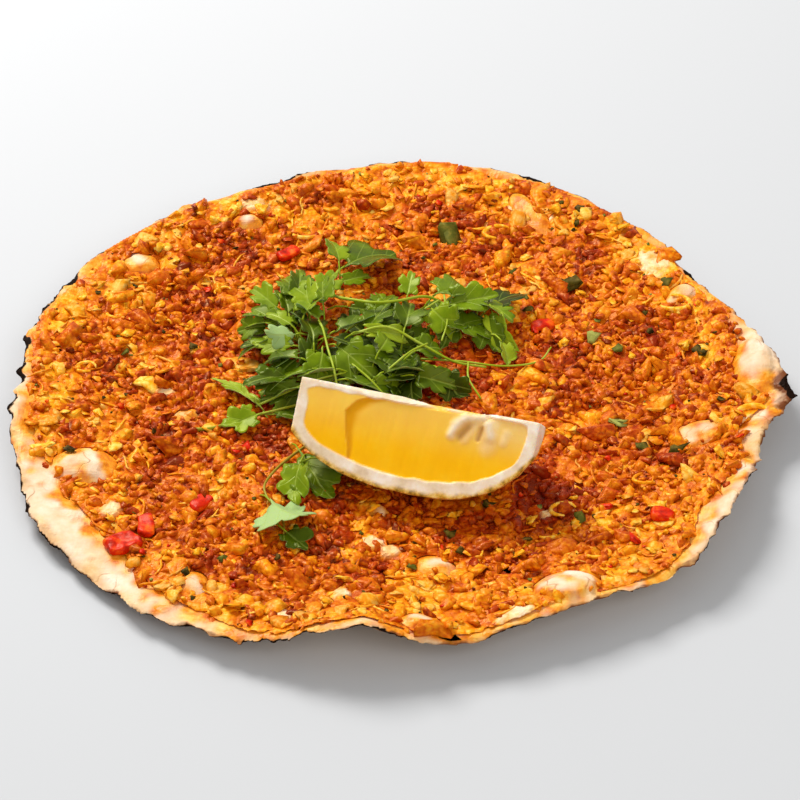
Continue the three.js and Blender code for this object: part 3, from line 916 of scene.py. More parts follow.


# %% [markdown]
# Every crumb holds two numbers: `tone`, how pale it is, with painted light and shade in it, and
# `warm`, its own small difference. The material turns tone into colour, from the dark red-brown of
# the shaded gaps to golden, darkens the borders between small lumps as painted shade, and adds a
# fine grain. The crumbs are wet with orange oil, so their highlights are tinted orange too.


# %% Minced meat material
def minced_meat():
    recipe = new_material("minced_meat")
    read = recipe.read
    grain = recipe.noise(900, 3)
    shift = recipe.noise(260, 2, out="Color")
    bent = recipe.add("ShaderNodeMix", {0: 0.0035, 4: recipe.place, 5: shift}, data_type="VECTOR")
    inputs = {"Vector": bent.outputs[1], "Scale": 430.0, "Smoothness": 0.25}
    lumps = recipe.add("ShaderNodeTexVoronoi", inputs, feature="SMOOTH_F1").outputs["Distance"]
    wander = recipe.sum("MULTIPLY", recipe.sum("SUBTRACT", grain, 0.5), 0.55)
    tone = recipe.sum("ADD", read("tone"), wander)
    # Painted shade: tone falls towards the borders between small lumps.
    tone = recipe.sum("ADD", tone, recipe.ranged(lumps, 0.1, 0.75, 0.12, -0.2))
    stops = [(0, (92, 15, 2)), (0.2, (158, 50, 2)), (0.4, (206, 98, 2)), (0.6, (238, 138, 8))]
    shades = recipe.ramp(tone, *stops, (0.8, (252, 176, 26)), (1, (255, 206, 92)))
    base = recipe.mix(read("warm"), shades, recipe.mix(0.45, shades, color(186, 44, 6)))
    dough = recipe.mottled(260, (230, 156, 66), (240, 198, 138), (244, 218, 180), 0.9)
    height = recipe.sum("SUBTRACT", recipe.sum("MULTIPLY", grain, 0.35), lumps)
    return recipe.shade(
        Base_Color=recipe.mix(read("bare"), base, dough),
        Roughness=recipe.ranged(grain, 0.3, 0.7, 0.3, 0.5),
        Normal=recipe.bump(0.65, 0.7 * MM, height),
        Specular_IOR_Level=0.5,
        Specular_Tint=(1.0, 0.5, 0.1, 1.0),
    )


MINCED = minced_meat()
finish(core, MINCED, "minced_meat", "meat_spread")
for piece in crumbs:
    finish(piece, MINCED, "minced_meat")

# %% [markdown]
# Larger bits of onion are laid one by one: curls of its layers, each a row of x, y, radius, first
# angle, sweep and tone, and pale chunks between them.

# %% Onion curls and chunks
RINGS = [
    (95, 43, 5.5, 200, 260, 0.95), (117, -19, 5.5, 10, 190, 0.9), (34, 87, 5, 40, 220, 0.84),
    (-109, 8, 3.5, 0, 300, 0.9), (-36, 87, 4, 150, 200, 0.95), (26, 92, 3.5, 250, 200, 0.8),
    (-64, 54, 3, 30, 180, 0.85), (79, -48, 3.5, 100, 220, 0.75), (-63, -80, 2.6, 0, 290, 0.6),
    (-100, 40, 4, 90, 190, 0.78), (62, -84, 4, 200, 200, 0.8), (-84, 37, 2.5, 0, 200, 0.92),
    (52, -61, 4.2, 20, 250, 0.93), (46, -72, 3.2, 200, 240, 0.9),
]
CHUNKS = [
    (-52, 97, 6, 0.8), (55, 98, 6, 0.75), (79, 88, 6, 0.8), (-14, 103, 5, 0.75), (37, -84, 6, 0.8),
    (-10, -60, 5, 0.72), (64, -66, 5, 0.72), (-66, -83, 6, 0.75), (-96, -66, 6, 0.85), (-113, 30, 5, 0.8),
    (98, 20, 6, 0.8), (112, 30, 6, 0.85), (-20, -98, 6, 0.8), (12, -96, 6, 0.78), (84, -64, 5, 0.8),
    (-88, 74, 6, 0.85), (-44, 62, 5, 0.8), (104, -40, 6, 0.8), (42, -66, 5, 0.95), (55, -56, 5, 0.9),
]


def on_top(rows):
    """Places and normals on the topping under listed rows of x, y, …"""
    found = []
    for x, y, *_ in rows:
        hit = seen_from_above(CORE_TREE, x * MM, y * MM)
        found.append(hit if hit[0] is not None else seen_from_above(BREAD_TREE, x * MM, y * MM))
    return [np.array(column) for column in zip(*found)]


def lay_rings(rows):
    parts, tones, filled = [], [], 0
    for place, (_, _, radius, start, sweep, tone) in zip(on_top(rows)[0], rows):
        turn = np.radians(start + np.linspace(0, sweep, 16))
        wave = 0.4 * np.sin(1.7 * turn) + 0.9
        arc = np.column_stack([radius * np.cos(turn), 0.75 * radius * np.sin(turn), wave])
        thick = 0.2 * radius * np.sin(np.linspace(0.3, math.pi - 0.3, 16)) ** 0.7
        points, triangles = tube(place + arc * MM, thick * MM, 8)
        parts.append((points, triangles + filled))
        tones.append(np.full(len(points), tone))
        filled += len(points)
    piece = mesh_of("onion_rings", *[np.concatenate(column) for column in zip(*parts)])
    paint(piece, "tone", np.concatenate(tones))
    return piece


def lay_bits(name, rows, spacing, seed, share, size, tones=(0, 0)):
    """Listed rows and a chance scatter of one kind, as one piece."""
    rng = np.random.default_rng(seed)
    places, normals = on_top(rows)
    places += normals * 0.7 * MM
    widths = np.array([row[2] / 1.5 for row in rows]) * MM
    by_chance, upright = drop(spacing, seed + 1, share, 4 * MM, True)
    few = np.clip(size * np.exp(rng.normal(0, 0.35, len(by_chance))), 0.5, 3) * MM
    places, normals = np.concatenate([places, by_chance]), np.concatenate([normals, upright])
    widths = np.concatenate([widths, few])
    piece, owners, painted_top_light = lay(name, BIT_SHAPES, places, normals, widths, seed + 2, 0.25, 0.25)
    chance = rng.uniform(*tones, len(few))
    shade = np.concatenate([[row[3] if len(row) > 3 else 0 for row in rows], chance])
    # Painted light and shade: the top of each bit a little paler, its foot darker.
    paint(piece, "tone", np.clip(shade[owners] + 0.08 * painted_top_light, 0, 1))
    print(name, len(places), "pieces")
    return piece


finish(lay_rings(RINGS), MINCED, "minced_meat")
chunks = lay_bits("onion_chunks", CHUNKS, 14 * MM, 330, mostly_lean, 2.2, (0.66, 0.9))
finish(chunks, MINCED, "minced_meat")

# %% [markdown]
# ### Herbs, char and pepper
# Dried herbs and scorched bits are thrown in by chance, and the larger ones that catch the eye
# are listed one by one. Each listed bit is a row: where it lies, how long it is, and how green
# it is.


# %% Small dark and green bits
HERBS = [
    (17, 86, 11, 0.6), (60, 58, 8, 0.35), (73, -17, 9, 1.0), (91, -34, 9, 0.3), (80, -30, 6, 0.4),
    (57, -66, 5, 0.6), (15, -72, 6, 0.35), (27, -57, 6, 0.3), (102, 16, 6, 0.1), (75, 23, 5, 0.6),
    (66, 29, 5.5, 0.9), (44, 45, 5, 0.4), (93, 55, 5, 0.4), (40, 66, 5, 0.5), (-96, 20, 4, 0.5),
    (-58, -86, 4, 0.7), (2, -88, 4, 0.6),
]
CHARS = [
    (40, -76, 4.5), (36, -84, 4), (-111, -35, 4.5), (-32, -96, 4), (-81, -24, 3.5), (-95, 54, 3),
    (-73, 24, 3.5), (-116, 23, 4), (64, 99, 5), (60, 60, 5), (-84, -20, 3), (-70, -92, 3.5), (18, -80, 3.5),
    (-40, -84, 3), (86, 30, 3.5), (12, 20, 2), (-60, 78, 3), (107, -8, 3),
]


herbs = lay_bits("herb_bits", HERBS, 15 * MM, 300, lambda points: 0.55, 1.1, (0.1, 0.9))
chars = lay_bits("char_bits", CHARS, 12 * MM, 310, lambda points: 0.3 + 0.5 * lean(points), 0.9)


# %% Herb material
def dried_herb():
    recipe = new_material("dried_herb")
    stops = [(0, (26, 12, 2)), (0.35, (66, 56, 10)), (0.7, (98, 106, 36)), (1, (176, 180, 92))]
    shades = recipe.mottled(500, (40, 26, 4), (110, 96, 28), (190, 150, 60))
    return recipe.shade(
        Base_Color=recipe.mix(0.25, recipe.ramp(recipe.read("tone"), *stops), shades),
        Roughness=0.6,
        Specular_IOR_Level=0.15,
        Specular_Tint=(1.0, 0.7, 0.3, 1.0),
    )


HERB = dried_herb()
finish(herbs, HERB, "parsley")
finish(chars, HERB, "minced_meat")


# %% [markdown]
# Diced red pepper stands out in six places, and as small specks elsewhere. A large dice keeps
# the outline of its solid: a remeshed copy is smoothed until its edges are soft, then dented, as
# roasting leaves it.


# %% Pepper
def red_pepper():
    recipe = new_material("red_pepper")
    return recipe.shade(
        Base_Color=recipe.mottled(230, (150, 14, 0), (214, 34, 0), (240, 100, 10)),
        Roughness=0.38,
        Normal=recipe.bump(0.4, 0.5 * MM, recipe.noise(420, 3, 0.55)),
        Specular_IOR_Level=0.28,
        Specular_Tint=(1.0, 0.5, 0.3, 1.0),
    )


def pepper_piece(number):
    piece = merged_copy(f"pepper_{number}", f"pepper_{number}_diced")
    smooth_net(piece, 0.35 * MM, 0.6, 5)
    points, normals = points_of(piece), normals_of(piece)
    dents = 0.3 * MM * drift(points, 4 * MM, 60 + number, 2)
    move_points(piece, points + normals * dents[:, None])
    only(piece)
    bpy.ops.object.shade_smooth()
    return piece


PEPPER = red_pepper()
for number in range(1, 7):
    finish(pepper_piece(number), PEPPER, "red_pepper", f"pepper_{number}")

SPECKS = [
    (112, -31, 4.5), (74, -80, 5.5), (50, 37, 5), (46, 34, 3.5), (-84, -83, 3), (-52, -28, 4.5),
    (-56, -32, 3.5), (-66, 80, 3), (30, -46, 4), (84, 12, 3.5), (-18, -62, 3.5), (-96, -10, 3.5),
]
specks = lay_bits("pepper_bits", SPECKS, 22 * MM, 320, lambda points: 0.6, 1.4)
finish(specks, PEPPER, "red_pepper")

# %% [markdown]
# ## The lemon
# The wedge is a long quarter of a lemon, lying on its rind with the two cut faces up. Its solid
# has the right size and place, so a remeshed copy keeps both. What makes it a lemon is all in
# zones: zest, white pith and wet flesh. They depend only on how deep a point lies under the
# rind and how far it is from the ridge, so these are measured in the fruit's own directions
# first.

# %% Remesh the lemon and find its own directions
LEMON_RADIUS = 31 * MM
LEMON_ENDS = (53 * MM, 41 * MM)
WEDGE_ENDS = (43.5 * MM, 37.5 * MM)
LEMON_TURN = math.radians(-17)

lemon = merged_copy("lemon_wedge", "lemon_wedge_cut")
smooth_net(lemon, 0.55 * MM, 0.5, 3)


def lemon_directions(points, normals):
    """How far along, across and above the ridge each point is, in the lemon's own directions."""
    back = np.array(Matrix.Rotation(-LEMON_TURN, 3, "Z"))
    local, facing = points @ back.T, normals @ back.T
    middle = (local.min(0) + local.max(0)) / 2
    local = local - (middle[0], middle[1], local[:, 2].max())
    local[:, 0] += (WEDGE_ENDS[1] - WEDGE_ENDS[0]) / 2
    return local, facing


def rind_radius(along):
    reach = np.where(along < 0, LEMON_ENDS[0], LEMON_ENDS[1])
    return LEMON_RADIUS * np.clip(1 - np.abs(along / reach) ** 2.6, 0, 1) ** 0.59


# %% [markdown]
# The flesh sinks a little between the firmer ridge and pith. A membrane runs over its left third
# in an amber curve, with the flesh beyond it standing higher; the amber band along the low side of
# its step is the membrane's colour with painted shade in it. Near the right end the white core has
# torn loose and lies in soft folds round the hollows where seeds were, which are painted darker
# as painted shade. Each fold is a short stroke on the cut face, given by its two ends and its width.


# %% Shape and paint the lemon
def stroke(along, depth, start, end, width):
    """1 on the line from start to end, falling to 0 at this distance from it."""
    (x0, y0), (x1, y1) = start, end
    away = np.column_stack([along / MM - x0, depth / MM - y0])
    line = np.array([x1 - x0, y1 - y0], float)
    share = np.clip(away @ line / (line @ line), 0, 1)
    return np.clip(1 - np.hypot(*(away - share[:, None] * line).T) / width, 0, 1)


FLAP = [
    ((9.4, 9), (10.4, 5.6), 2.6), ((10.4, 5.6), (13.4, 2.8), 3.0), ((13.4, 2.8), (19, 1.6), 2.8),
    ((21, 3.6), (22.4, 7), 3.2),
]
FOLDS = [((17, 3.4), (14, 9.6), 2.6), ((21.4, 4), (22, 11), 4.4), ((27.2, 5.5), (26.8, 8.5), 2.4)]
HOLLOWS = [((14.2, 5.8), (12.4, 8.8), 3.0), ((18.8, 5.4), (18.4, 9), 1.5)]
MEMBRANE = [(2, -19), (4, -23.5), (8, -26.7), (14, -25.4), (20, -23.4), (26, -22.6)]


def cut_lemon(piece):
    points, normals = points_of(piece), normals_of(piece)
    local, facing = lemon_directions(points, normals)
    along = local[:, 0]
    depth = np.hypot(local[:, 1], local[:, 2])
    under_rind = rind_radius(along) - depth
    wave = drift(points, 7 * MM, 51, 2)
    ends = np.minimum(along + WEDGE_ENDS[0] - 2.6 * MM, WEDGE_ENDS[1] - 3.4 * MM - along)
    ridge = 2.3 * MM + 0.4 * MM * wave - 1.1 * MM * step(-12 * MM, 10 * MM, along)
    sides = np.stack([under_rind - 5.4 * MM + 0.3 * MM * wave, ends + 0.6 * MM * wave, depth - ridge])
    inside = -1.1 * MM * np.log(np.exp(-np.clip(sides, -0.02, 0.02) / (1.1 * MM)).sum(0))
    flesh = step(-0.3 * MM, 0.35 * MM, inside)
    on_face = step(0.25, 0.5, facing[:, 2]) * step(0.3 * MM, 1.0 * MM, under_rind)
    flesh *= on_face
    front = local[:, 1] < 0
    line = np.interp(depth / MM, *np.array(MEMBRANE, float).T) * MM
    past = along - line
    raised = np.where(front, step(0.5 * MM, -0.5 * MM, past), 0)
    width = np.interp(depth / MM, [2, 8, 14, 26], [6.0, 4.6, 2.6, 0.6]) * MM
    # The amber band: the membrane's colour with painted shade along the low side of its step.
    amber = np.where(front, step(-0.4 * MM, 0.3 * MM, past) * step(1.3 * width, 0.5 * width, past), 0)
    strokes = [np.zeros(len(along)) for _ in range(3)]
    for kind, rows in enumerate((FLAP, FOLDS, HOLLOWS)):
        for start, end, size in rows:
            strokes[kind] = np.maximum(strokes[kind], stroke(along, depth, start, end, size))
    flap, fold, hollow = (np.where(front, step(0, 1, one), 0) for one in strokes)
    sink = flesh * (0.7 * MM - 0.5 * MM * raised + 0.15 * MM * amber)
    sink += 0.05 * MM * flesh * drift(local * (1, 0.25, 0.25), 2.4 * MM, 52, 2)
    sink -= on_face * MM * (0.8 * flap + 0.3 * fold - 0.6 * hollow)
    sink += 0.12 * MM * drift(points, 5 * MM, 53, 2) * step(0.6 * MM, 0, under_rind)
    move_points(piece, points - normals * sink[:, None])
    torn = np.where(front, step(6 * MM, 14 * MM, along) * step(15 * MM, 3 * MM, depth), 0)
    paint(piece, "flesh", flesh * (1 - np.maximum(0.85 * flap, 0.3 * fold + 0.2 * torn)))
    # Flesh near the ridge is painted paler: painted sheen, with the paler flesh by the core.
    paint(piece, "deep", step(2 * MM, 19 * MM, depth))
    paint(piece, "amber", flesh * amber)
    # The hollows are painted darker: painted shade.
    paint(piece, "hollow", on_face * hollow)
    paint(piece, "zest", step(2.5 * MM, 0.6 * MM, under_rind + 0.5 * MM * wave))


cut_lemon(lemon)
print("lemon points:", len(lemon.data.vertices))


# %% [markdown]
# Wet flesh glows because light travels inside it, so it gets some subsurface scattering and a low
# roughness. Pith is matte. The zest is yellow with oil pores, and here it is a little bruised.


# %% Lemon material
def lemon_finish():
    recipe = new_material("lemon")
    mix, read = recipe.mix, recipe.read
    # Paler flesh near the ridge: painted sheen, with the paler flesh by the core.
    flesh = mix(read("deep"), color(246, 200, 92), color(255, 187, 0))
    veins = recipe.mottled(130, (240, 168, 0), (250, 188, 10), (252, 208, 46), 0.7)
    # The amber band: the membrane's colour with painted shade below its step.
    flesh = mix(read("amber"), mix(0.3, flesh, veins), color(230, 158, 6))
    pith = recipe.mottled(150, (218, 192, 156), (236, 215, 186), (248, 234, 216), 0.9)
    zest = recipe.mottled(420, (140, 104, 26), (214, 164, 60), (238, 204, 120), 1.1)
    # Painted shade: the seed hollows are mixed towards a darker brown.
    base = mix(read("hollow"), mix(read("flesh"), pith, flesh), color(204, 150, 80))
    pores = recipe.add("ShaderNodeTexVoronoi", {"Vector": recipe.place, "Scale": 700.0})
    dented = recipe.sum("MULTIPLY", pores.outputs["Distance"], read("zest"))
    return recipe.shade(
        Base_Color=mix(read("zest"), base, zest),
        Roughness=recipe.ranged(read("flesh"), 0, 1, 0.6, 0.2),
        Normal=recipe.bump(0.35, 0.3 * MM, dented),
        Specular_IOR_Level=0.35,
        Specular_Tint=(1.0, 0.82, 0.36, 1.0),
        Subsurface_Weight=0.2,
        Subsurface_Radius=(1.0, 0.6, 0.1),
        Subsurface_Scale=2 * MM,
    )


finish(lemon, lemon_finish(), "lemon", "lemon_wedge")

# %% [markdown]
# ## The parsley
# The bunch is a loose heap of flat-leaf parsley. A leaflet has three lobes with rounded teeth. It
# is drawn as a radius that changes with the angle, filled with rings, folded along its midrib,
# rippled and bent, and then given a thickness. Its own x and y are painted on it, so that the
# material can draw the veins as fine lines.


# %% One leaflet
def leaflet(seed, long, wide, fold=0.25, bend=0.3):
    """Points and triangles of a leaflet along +X from its stalk, its x and y, and its underside."""
    rng = np.random.default_rng(seed)
    steps, rings = 64, 5
    angle = np.linspace(-math.pi, math.pi, steps, endpoint=False)
    tips = [(0, 0.57, 0.52), (1.08, 0.52, 0.5), (-1.08, 0.52, 0.5), (2.0, 0.44, 0.46), (-2.0, 0.44, 0.46)]
    reach = np.full(steps, 0.3)
    for at, out, spread in tips:
        away = (angle - at - rng.normal(0, 0.06) + math.pi) % (2 * math.pi) - math.pi
        reach = np.maximum(reach, (out + rng.normal(0, 0.03)) * np.exp(-((away / spread) ** 4) / 2))
    reach = np.maximum(reach, 0.43 * np.exp(-(((np.abs(angle) - math.pi) / 0.13) ** 2)))
    teeth = 0.88 + 0.15 * np.abs(np.sin(5.5 * angle + rng.uniform(0, 3)))
    reach *= np.where(np.abs(angle) < 2.7, teeth, 1)
    share = np.linspace(0, 1, rings + 1)[1:]
    x = 0.43 + share[:, None] * (reach * np.cos(angle))[None]
    y = share[:, None] * (reach * np.sin(angle))[None]
    x = np.concatenate([[0.43], x.ravel()]) * long
    y = np.concatenate([[0.0], y.ravel()]) * wide
    ripple = np.sin(3 * np.arctan2(y, x - 0.43 * long) + rng.uniform(0, 6))
    lift = fold * np.abs(y) + 0.07 * long * ripple * (np.hypot(y, x - 0.43 * long) / (0.6 * long)) ** 2
    curve = bend / long
    sheet = np.column_stack([np.sin(curve * x) / curve, y, lift - (1 - np.cos(curve * x)) / curve])
    first = np.arange(steps)
    second = (first + 1) % steps
    triangles = [np.column_stack([0 * first, 1 + first, 1 + second])]
    for ring in range(rings - 1):
        a, b = 1 + ring * steps + first, 1 + ring * steps + second
        triangles += [np.column_stack([a, a + steps, b + steps]), np.column_stack([a, b + steps, b])]
    top = np.concatenate(triangles)
    count = len(sheet)
    under = top[:, ::-1] + count
    a, b = 1 + (rings - 1) * steps + first, 1 + (rings - 1) * steps + second
    wall = [np.column_stack([a, a + count, b + count]), np.column_stack([a, b + count, b])]
    below = sheet - (0, 0, 0.28 * MM)
    points = np.concatenate([sheet, below])
    triangles = np.concatenate([top, under, *wall])
    return points, triangles, np.tile(x, 2), np.tile(y, 2), np.repeat([0.0, 1.0], count)


def turned(heading, pitch, roll):
    """Turns +X to the heading, lifts its tip by the pitch and rolls it about its length."""
    turn = Matrix.Rotation(math.radians(heading), 3, "Z")
    turn = turn @ Matrix.Rotation(-math.radians(pitch), 3, "Y")
    return np.array(turn @ Matrix.Rotation(math.radians(roll), 3, "X"))


def height_at(x, y):
    """The height of the topping at a place given in millimetres."""
    place = seen_from_above(CORE_TREE, x * MM, y * MM)[0]
    return place.z if place is not None else 5 * MM


# %% [markdown]
# Each leaf is a row: x and y of its stalk and how high it is above the topping, in millimetres;
# its heading in degrees; its length and width; its pitch and roll; and its tone, from dark 0 to
# pale 1, which holds painted light and shade as well as the leaf's own green. A roll near 180
# turns its pale underside up.

# %% Leaves, listed one by one
BUNCH_LEAVES = [
    (-22, 61, 7, 42, 27, 27, 8, -12, 0.25), (-23, 62, 8, 95, 15, 11, 14, 30, 0.6),
    (-24, 54, 6, 22, 15, 6, 6, 30, 0.6), (-21, 43, 4, -12, 16, 8, 4, 20, 0.35),
    (1, 43, 7, 80, 12, 8, 25, 0, 0.6), (10, 42, 9, 38, 22, 19, 10, -8, 0.45),
    (14, 38, 8, 8, 20, 14, 12, 15, 0.45), (27, 40, 9, -38, 15, 12, 8, -25, 0.5),
    (30, 37, 10, -78, 27, 9, -12, 28, 0.68), (33, 22, 7, -60, 13, 8, -14, -30, 0.8),
    (9, 36, 9, -55, 16, 14, 4, 20, 0.62), (16, 34, 6, -95, 14, 9, -4, -20, 0.3),
    (-38, 40, 8, 78, 20, 10, 22, 24, 0.42), (-43, 38, 7, 135, 17, 10, 16, -20, 0.55),
    (-41, 33, 7, 172, 16, 11, 8, 20, 0.5), (-33, 34, 10, 98, 15, 12, 12, -20, 0.55),
    (-31, 16, 9, 92, 25, 14, 16, 28, 0.3), (-36, 22, 9, 200, 17, 9, 2, 150, 0.8),
    (-38, 24, 10, 140, 13, 8, 15, 10, 0.7), (-25, 24, 8, 28, 17, 9, 10, -24, 0.35),
    (-16, 30, 7, 20, 17, 13, 6, 15, 0.5), (-13, 24, 9, 62, 15, 12, 10, -15, 0.4),
    (0, 24, 9, 78, 15, 13, 14, 12, 0.45), (-17, 19, 12, 3, 27, 7, 4, 30, 0.72),
    (-27, 19, 10, -12, 24, 13, 4, -22, 0.25), (-24, 14, 11, -48, 22, 16, 4, 18, 0.4),
    (-28, 12, 11, -92, 19, 13, -4, -20, 0.45), (-33, 14, 9, 205, 20, 9, 0, 24, 0.35),
    (-14, 10, 10, -22, 18, 13, 2, -10, 0.3), (-9, 8, 11, 60, 14, 9, 14, 30, 0.6),
    (3, 12, 9, 28, 15, 12, 6, 18, 0.4), (-8, 0, 9, 30, 22, 15, 6, -20, 0.22),
    (2, 0, 8, -12, 18, 11, -2, 26, 0.35), (12, 4, 7, -58, 17, 12, -8, 18, 0.22),
    (-20, -2, 8, -14, 20, 9, 0, -22, 0.4), (-12, -4, 7, 8, 17, 9, -2, 34, 0.5),
    (-30, 2, 9, 186, 22, 9, 0, 26, 0.5), (-32, -2, 7, 200, 20, 8, -4, -24, 0.4),
    (-34, 6, 10, 160, 19, 9, 6, 20, 0.45), (-31, -6, 8, 168, 16, 8, -2, 30, 0.62),
    (-36, 10, 8, 225, 14, 9, 2, 0, 0.3), (-22, 2, 9, 190, 15, 8, 6, 40, 0.7),
    (-36, 45, 7, 120, 16, 11, 14, -10, 0.5), (-31, 43, 8, 60, 15, 11, 18, 15, 0.55),
    (-46, 30, 6, 185, 15, 10, 6, -25, 0.35), (-41, 27, 8, 150, 16, 11, 12, 20, 0.6),
    (-35, 29, 10, 75, 16, 11, 22, -25, 0.66), (-29, 27, 10, 118, 15, 10, 14, 30, 0.55),
    (-44, 21, 7, 190, 15, 9, 4, 20, 0.45), (-28, 37, 8, 95, 17, 11, 18, -15, 0.42),
    (-40, 36, 6, 100, 15, 10, 12, 25, 0.4), (-37, 16, 9, 175, 16, 9, 4, -20, 0.6),
    (-6, 36, 6, 100, 13, 10, 20, 10, 0.5), (-12, 36, 7, 60, 14, 10, 16, -20, 0.4),
]
# The heap is deep, so leaves darkened with painted shade fill it from below, spread round a few middles.
TUFTS = [(-37, 27), (-22, 14), (-8, 8), (10, 34), (-12, 27), (3, 2), (25, 36), (-34, 2), (-12, -2)]
tuft_rng = np.random.default_rng(450)
for tuft_x, tuft_y in TUFTS:
    for _ in range(4):
        along, size = tuft_rng.uniform(0, 360), tuft_rng.uniform(13, 20)
        out = tuft_rng.uniform(0, 5)
        row = (tuft_x + out * math.cos(math.radians(along)), tuft_y + out * math.sin(math.radians(along)))
        row += (tuft_rng.uniform(2.5, 6.5), along, size, size * tuft_rng.uniform(0.55, 0.8))
        # Low tones here are painted shade deep in the heap.
        BUNCH_LEAVES.append((*row, *tuft_rng.uniform((-8, -45, 0.05), (22, 45, 0.4))))
LEFT_LEAVES = [
    (-47, -13, 2.5, 119, 28, 7, 14, 30, 0.75), (-48, -14, 2.5, 205, 15, 12, 4, -12, 0.7),
    (-47, -13, 3, 14, 20, 9, 12, 30, 0.45), (-45, -13, 2.5, -6, 17, 8, 6, -24, 0.35),
]
FRONT_LEAVES = [
    (-35, -33, 4, -66, 26, 20, -2, 10, 0.45), (-34, -40, 5, -106, 22, 13, 0, 22, 0.62),
    (-28, -41, 7, -22, 15, 11, 0, -8, 0.25), (-44, -59, 4, -58, 20, 23, 2, 172, 0.9),
    (-39, -72, 2.5, -48, 12, 10, -2, 10, 0.35),
]

# %% Stalks, each a radius and its points, with their height above the topping
BUNCH_STALKS = [
    (0.75, [
        (-23, 61, 6), (-27, 50, 7), (-24, 43, 9), (-18, 38, 11), (-10, 35, 12), (-2, 36, 12), (8, 41, 10),
        (16, 41, 5),
    ]),
    (0.65, [(-18, 19, 11), (-6, 20, 13), (6, 15, 10), (17, 10, 6), (28, 10, 4)]),
    (0.5, [(6, 14, 4), (20, 13, 4), (34, 11, 3), (46, 14, 2), (51, 24, 2)]),
    (0.6, [(-33, 37, 3), (-30, 31, 8), (-28, 22, 12), (-26, 12, 11), (-24, 2, 9), (-22, -8, 5)]),
    (0.5, [(14, 40, 11), (15, 30, 9), (13, 22, 6)]),
    (0.5, [(-8, 26, 6), (0, 30, 8), (12, 38, 10)]),
    (0.5, [(-6, 2, 9), (2, 9, 11), (8, 14, 11)]),
    (0.55, [(-20, 8, 9), (-12, -1, 8), (-6, -8, 5)]),
    (0.55, [(-50, -9, 2), (-40, -6, 6), (-30, -2, 8), (-20, 2, 8)]),
    (0.5, [(22, 10, 6), (22, 2, 5), (26, -6, 3)]),
]
LEFT_STALKS = [(0.75, [(-70, -19, 0.6), (-64, -18.5, 1.5), (-54, -15, 2.5), (-44, -12, 3), (-34, -9.5, 4)])]
FRONT_STALKS = [
    (0.65, [
        (-33, -31, 3.5), (-38, -36, 3), (-43, -43, 2.5), (-46, -51, 2.2), (-44, -58, 2.5), (-40, -65, 3),
    ]),
    (0.55, [(-40, -65, 3), (-39, -70, 2.5), (-39, -76, 1.5)]),
]


def smooth_path(rows, fine=6):
    """A smooth path through rows of x, y and height above the topping."""
    marks = np.array([(x * MM, y * MM, height_at(x, y) + up * MM) for x, y, up in rows])
    pad = np.concatenate([[2 * marks[0] - marks[1]], marks, [2 * marks[-1] - marks[-2]]])
    path = []
    for i in range(1, len(pad) - 2):
        a, b, c, d = pad[i - 1 : i + 3]
        for t in np.arange(fine) / fine:
            curve = (c - a) * t + (2 * a - 5 * b + 4 * c - d) * t**2 + (3 * b - a - 3 * c + d) * t**3
            path.append(b + 0.5 * curve)
    return np.array(path + [marks[-1]])


# %% Build the parsley
def draped(points):
    """Lifts a leaf wherever it would sink into the topping."""
    count = len(points) // 2
    ground = np.array([height_at(x / MM, y / MM) for x, y in points[:count, :2]])
    lift = np.maximum(ground + 2.2 * MM - points[count:, 2], 0)
    return points + np.tile(lift, 2)[:, None] * (0, 0, 1)


def build_parsley(name, leaves, stalks, seed, brown):
    """Joins leaves and stalks into one piece, each leaf with a short stalk of its own."""
    rng = np.random.default_rng(seed)
    parts = []
    for index, (x, y, up, heading, long, wide, pitch, roll, tone) in enumerate(leaves):
        fold, bend = rng.uniform(0.15, 0.5), rng.uniform(0.2, 1.3)
        points, triangles, u, v, under = leaflet(seed + index, long * MM, wide * MM, fold, bend)
        turn = turned(heading, pitch, roll)
        base = np.array((x * MM, y * MM, height_at(x, y) + up * MM))
        tone = np.full(len(points), tone - 0.05 + rng.normal(0, 0.05))
        parts.append((draped(points @ turn.T + base), triangles, u, v, under, tone, 0 * tone))
        back = base - turn[:, 0] * 6 * MM - (0, 0, 0.5 * up * MM)
        middle = (back + base) / 2 + (0, 0, 0.8 * MM)
        points, triangles = tube([base + turn[:, 0] * 1.2 * MM, base, middle, back], 0.32 * MM, 6)
        zero = np.zeros(len(points))
        parts.append((points, triangles, zero + 1, zero + 1, zero, zero + 0.7, zero))
    for radius, rows in stalks:
        path = smooth_path(rows)
        points, triangles = tube(path, 0.8 * radius * MM * np.linspace(1, 0.8, len(path)), 8)
        zero = np.zeros(len(points))
        parts.append((points, triangles, zero + 1, zero + 1, zero, zero + 0.78, zero + brown))
    starts = np.cumsum([0] + [len(part[0]) for part in parts])
    columns = [np.concatenate(column) for column in zip(*[(p[0], *p[2:]) for p in parts])]
    triangles = np.concatenate([part[1] + start for part, start in zip(parts, starts)])
    piece = mesh_of(name, columns[0], triangles)
    for label, values in zip(("leaf_x", "leaf_y", "under", "tone", "brown"), columns[1:]):
        paint(piece, label, values)
    return piece


bunch = build_parsley("parsley_bunch_leaves", BUNCH_LEAVES, BUNCH_STALKS, 400, 0.0)
left = build_parsley("parsley_left_leaves", LEFT_LEAVES, LEFT_STALKS, 500, 0.35)
front = build_parsley("parsley_front_leaves", FRONT_LEAVES, FRONT_STALKS, 600, 0.7)


# %% [markdown]
# The veins come from the painted x and y. The midrib is where y is close to zero, and the side
# veins repeat along x, swept forward by the distance from the midrib. Undersides are paler and
# duller than the glossy upper faces.


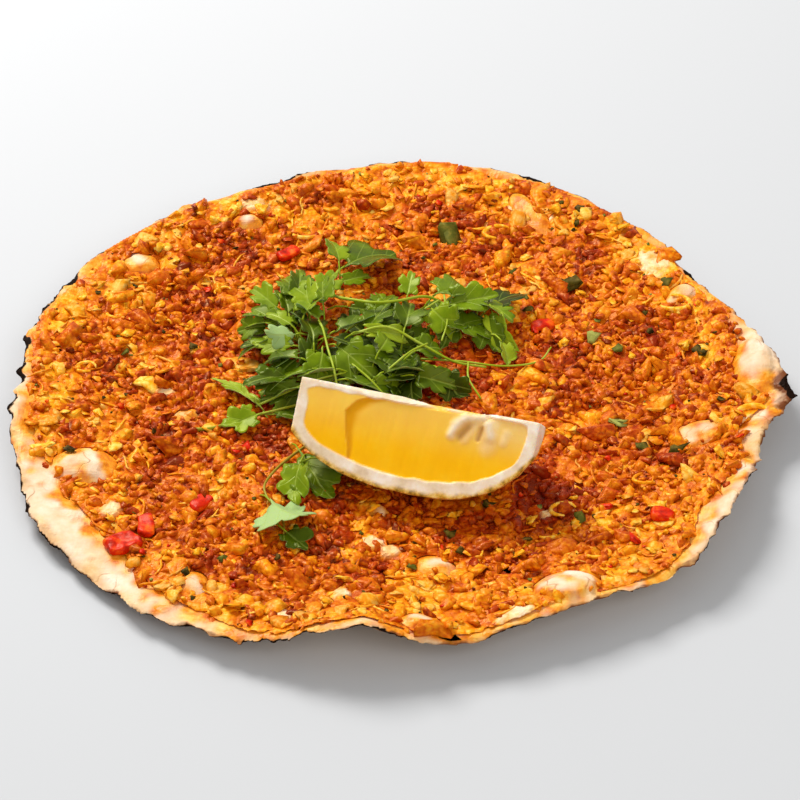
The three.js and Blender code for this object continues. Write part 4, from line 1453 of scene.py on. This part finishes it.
# %% Parsley material
def parsley_leaf():
    recipe = new_material("parsley")
    mix, read = recipe.mix, recipe.read
    out = recipe.sum("ABSOLUTE", read("leaf_y"))
    swept = recipe.sum("MULTIPLY_ADD", out, -1.3, read("leaf_x"))
    saw = recipe.sum("PINGPONG", recipe.sum("MULTIPLY", swept, 1 / (3.4 * MM)), 1.0)
    midrib, side = recipe.ranged(out, 0, 0.5 * MM, 1, 0), recipe.ranged(saw, 0, 0.12, 0.6, 0)
    veins = recipe.sum("MAXIMUM", midrib, side)
    wander = recipe.sum("SUBTRACT", recipe.noise(140, 3), 0.5)
    tone = recipe.sum("MULTIPLY_ADD", wander, 0.6, read("tone"))
    stops = [(0, (34, 48, 0)), (0.3, (74, 94, 2)), (0.5, (108, 131, 6)), (0.72, (148, 165, 28))]
    greens = recipe.ramp(tone, *stops, (1, (186, 200, 92)))
    base = mix(read("under"), greens, color(160, 186, 118))
    base = mix(recipe.sum("MULTIPLY", veins, 0.45), base, color(168, 184, 76))
    return recipe.shade(
        Base_Color=mix(read("brown"), base, color(150, 104, 26)),
        Roughness=recipe.ranged(read("under"), 0, 1, 0.36, 0.6),
        Normal=recipe.bump(0.5, 0.25 * MM, veins, invert=True),
        Specular_IOR_Level=0.3,
        Specular_Tint=(0.95, 1.0, 0.3, 1.0),
        Subsurface_Weight=0.1,
        Subsurface_Radius=(0.6, 1.0, 0.2),
        Subsurface_Scale=0.8 * MM,
    )


PARSLEY = parsley_leaf()
finish(bunch, PARSLEY, "parsley", "parsley_bunch")
finish(left, PARSLEY, "parsley", "parsley_sprig_left")
finish(front, PARSLEY, "parsley", "parsley_sprig_front")

# %% [markdown]
# ## The table
# The object is shown on a plain pale floor, which isn't part of it.

# %% Floor
bpy.ops.object.select_all(action="DESELECT")
bpy.ops.mesh.primitive_plane_add(size=6, location=(0, 0, 0))
floor = bpy.context.object
floor.name = "floor"
pale = new_material("pale_floor").shade(Base_Color=color(197, 198, 199), Roughness=0.9)
floor.data.materials.append(pale)
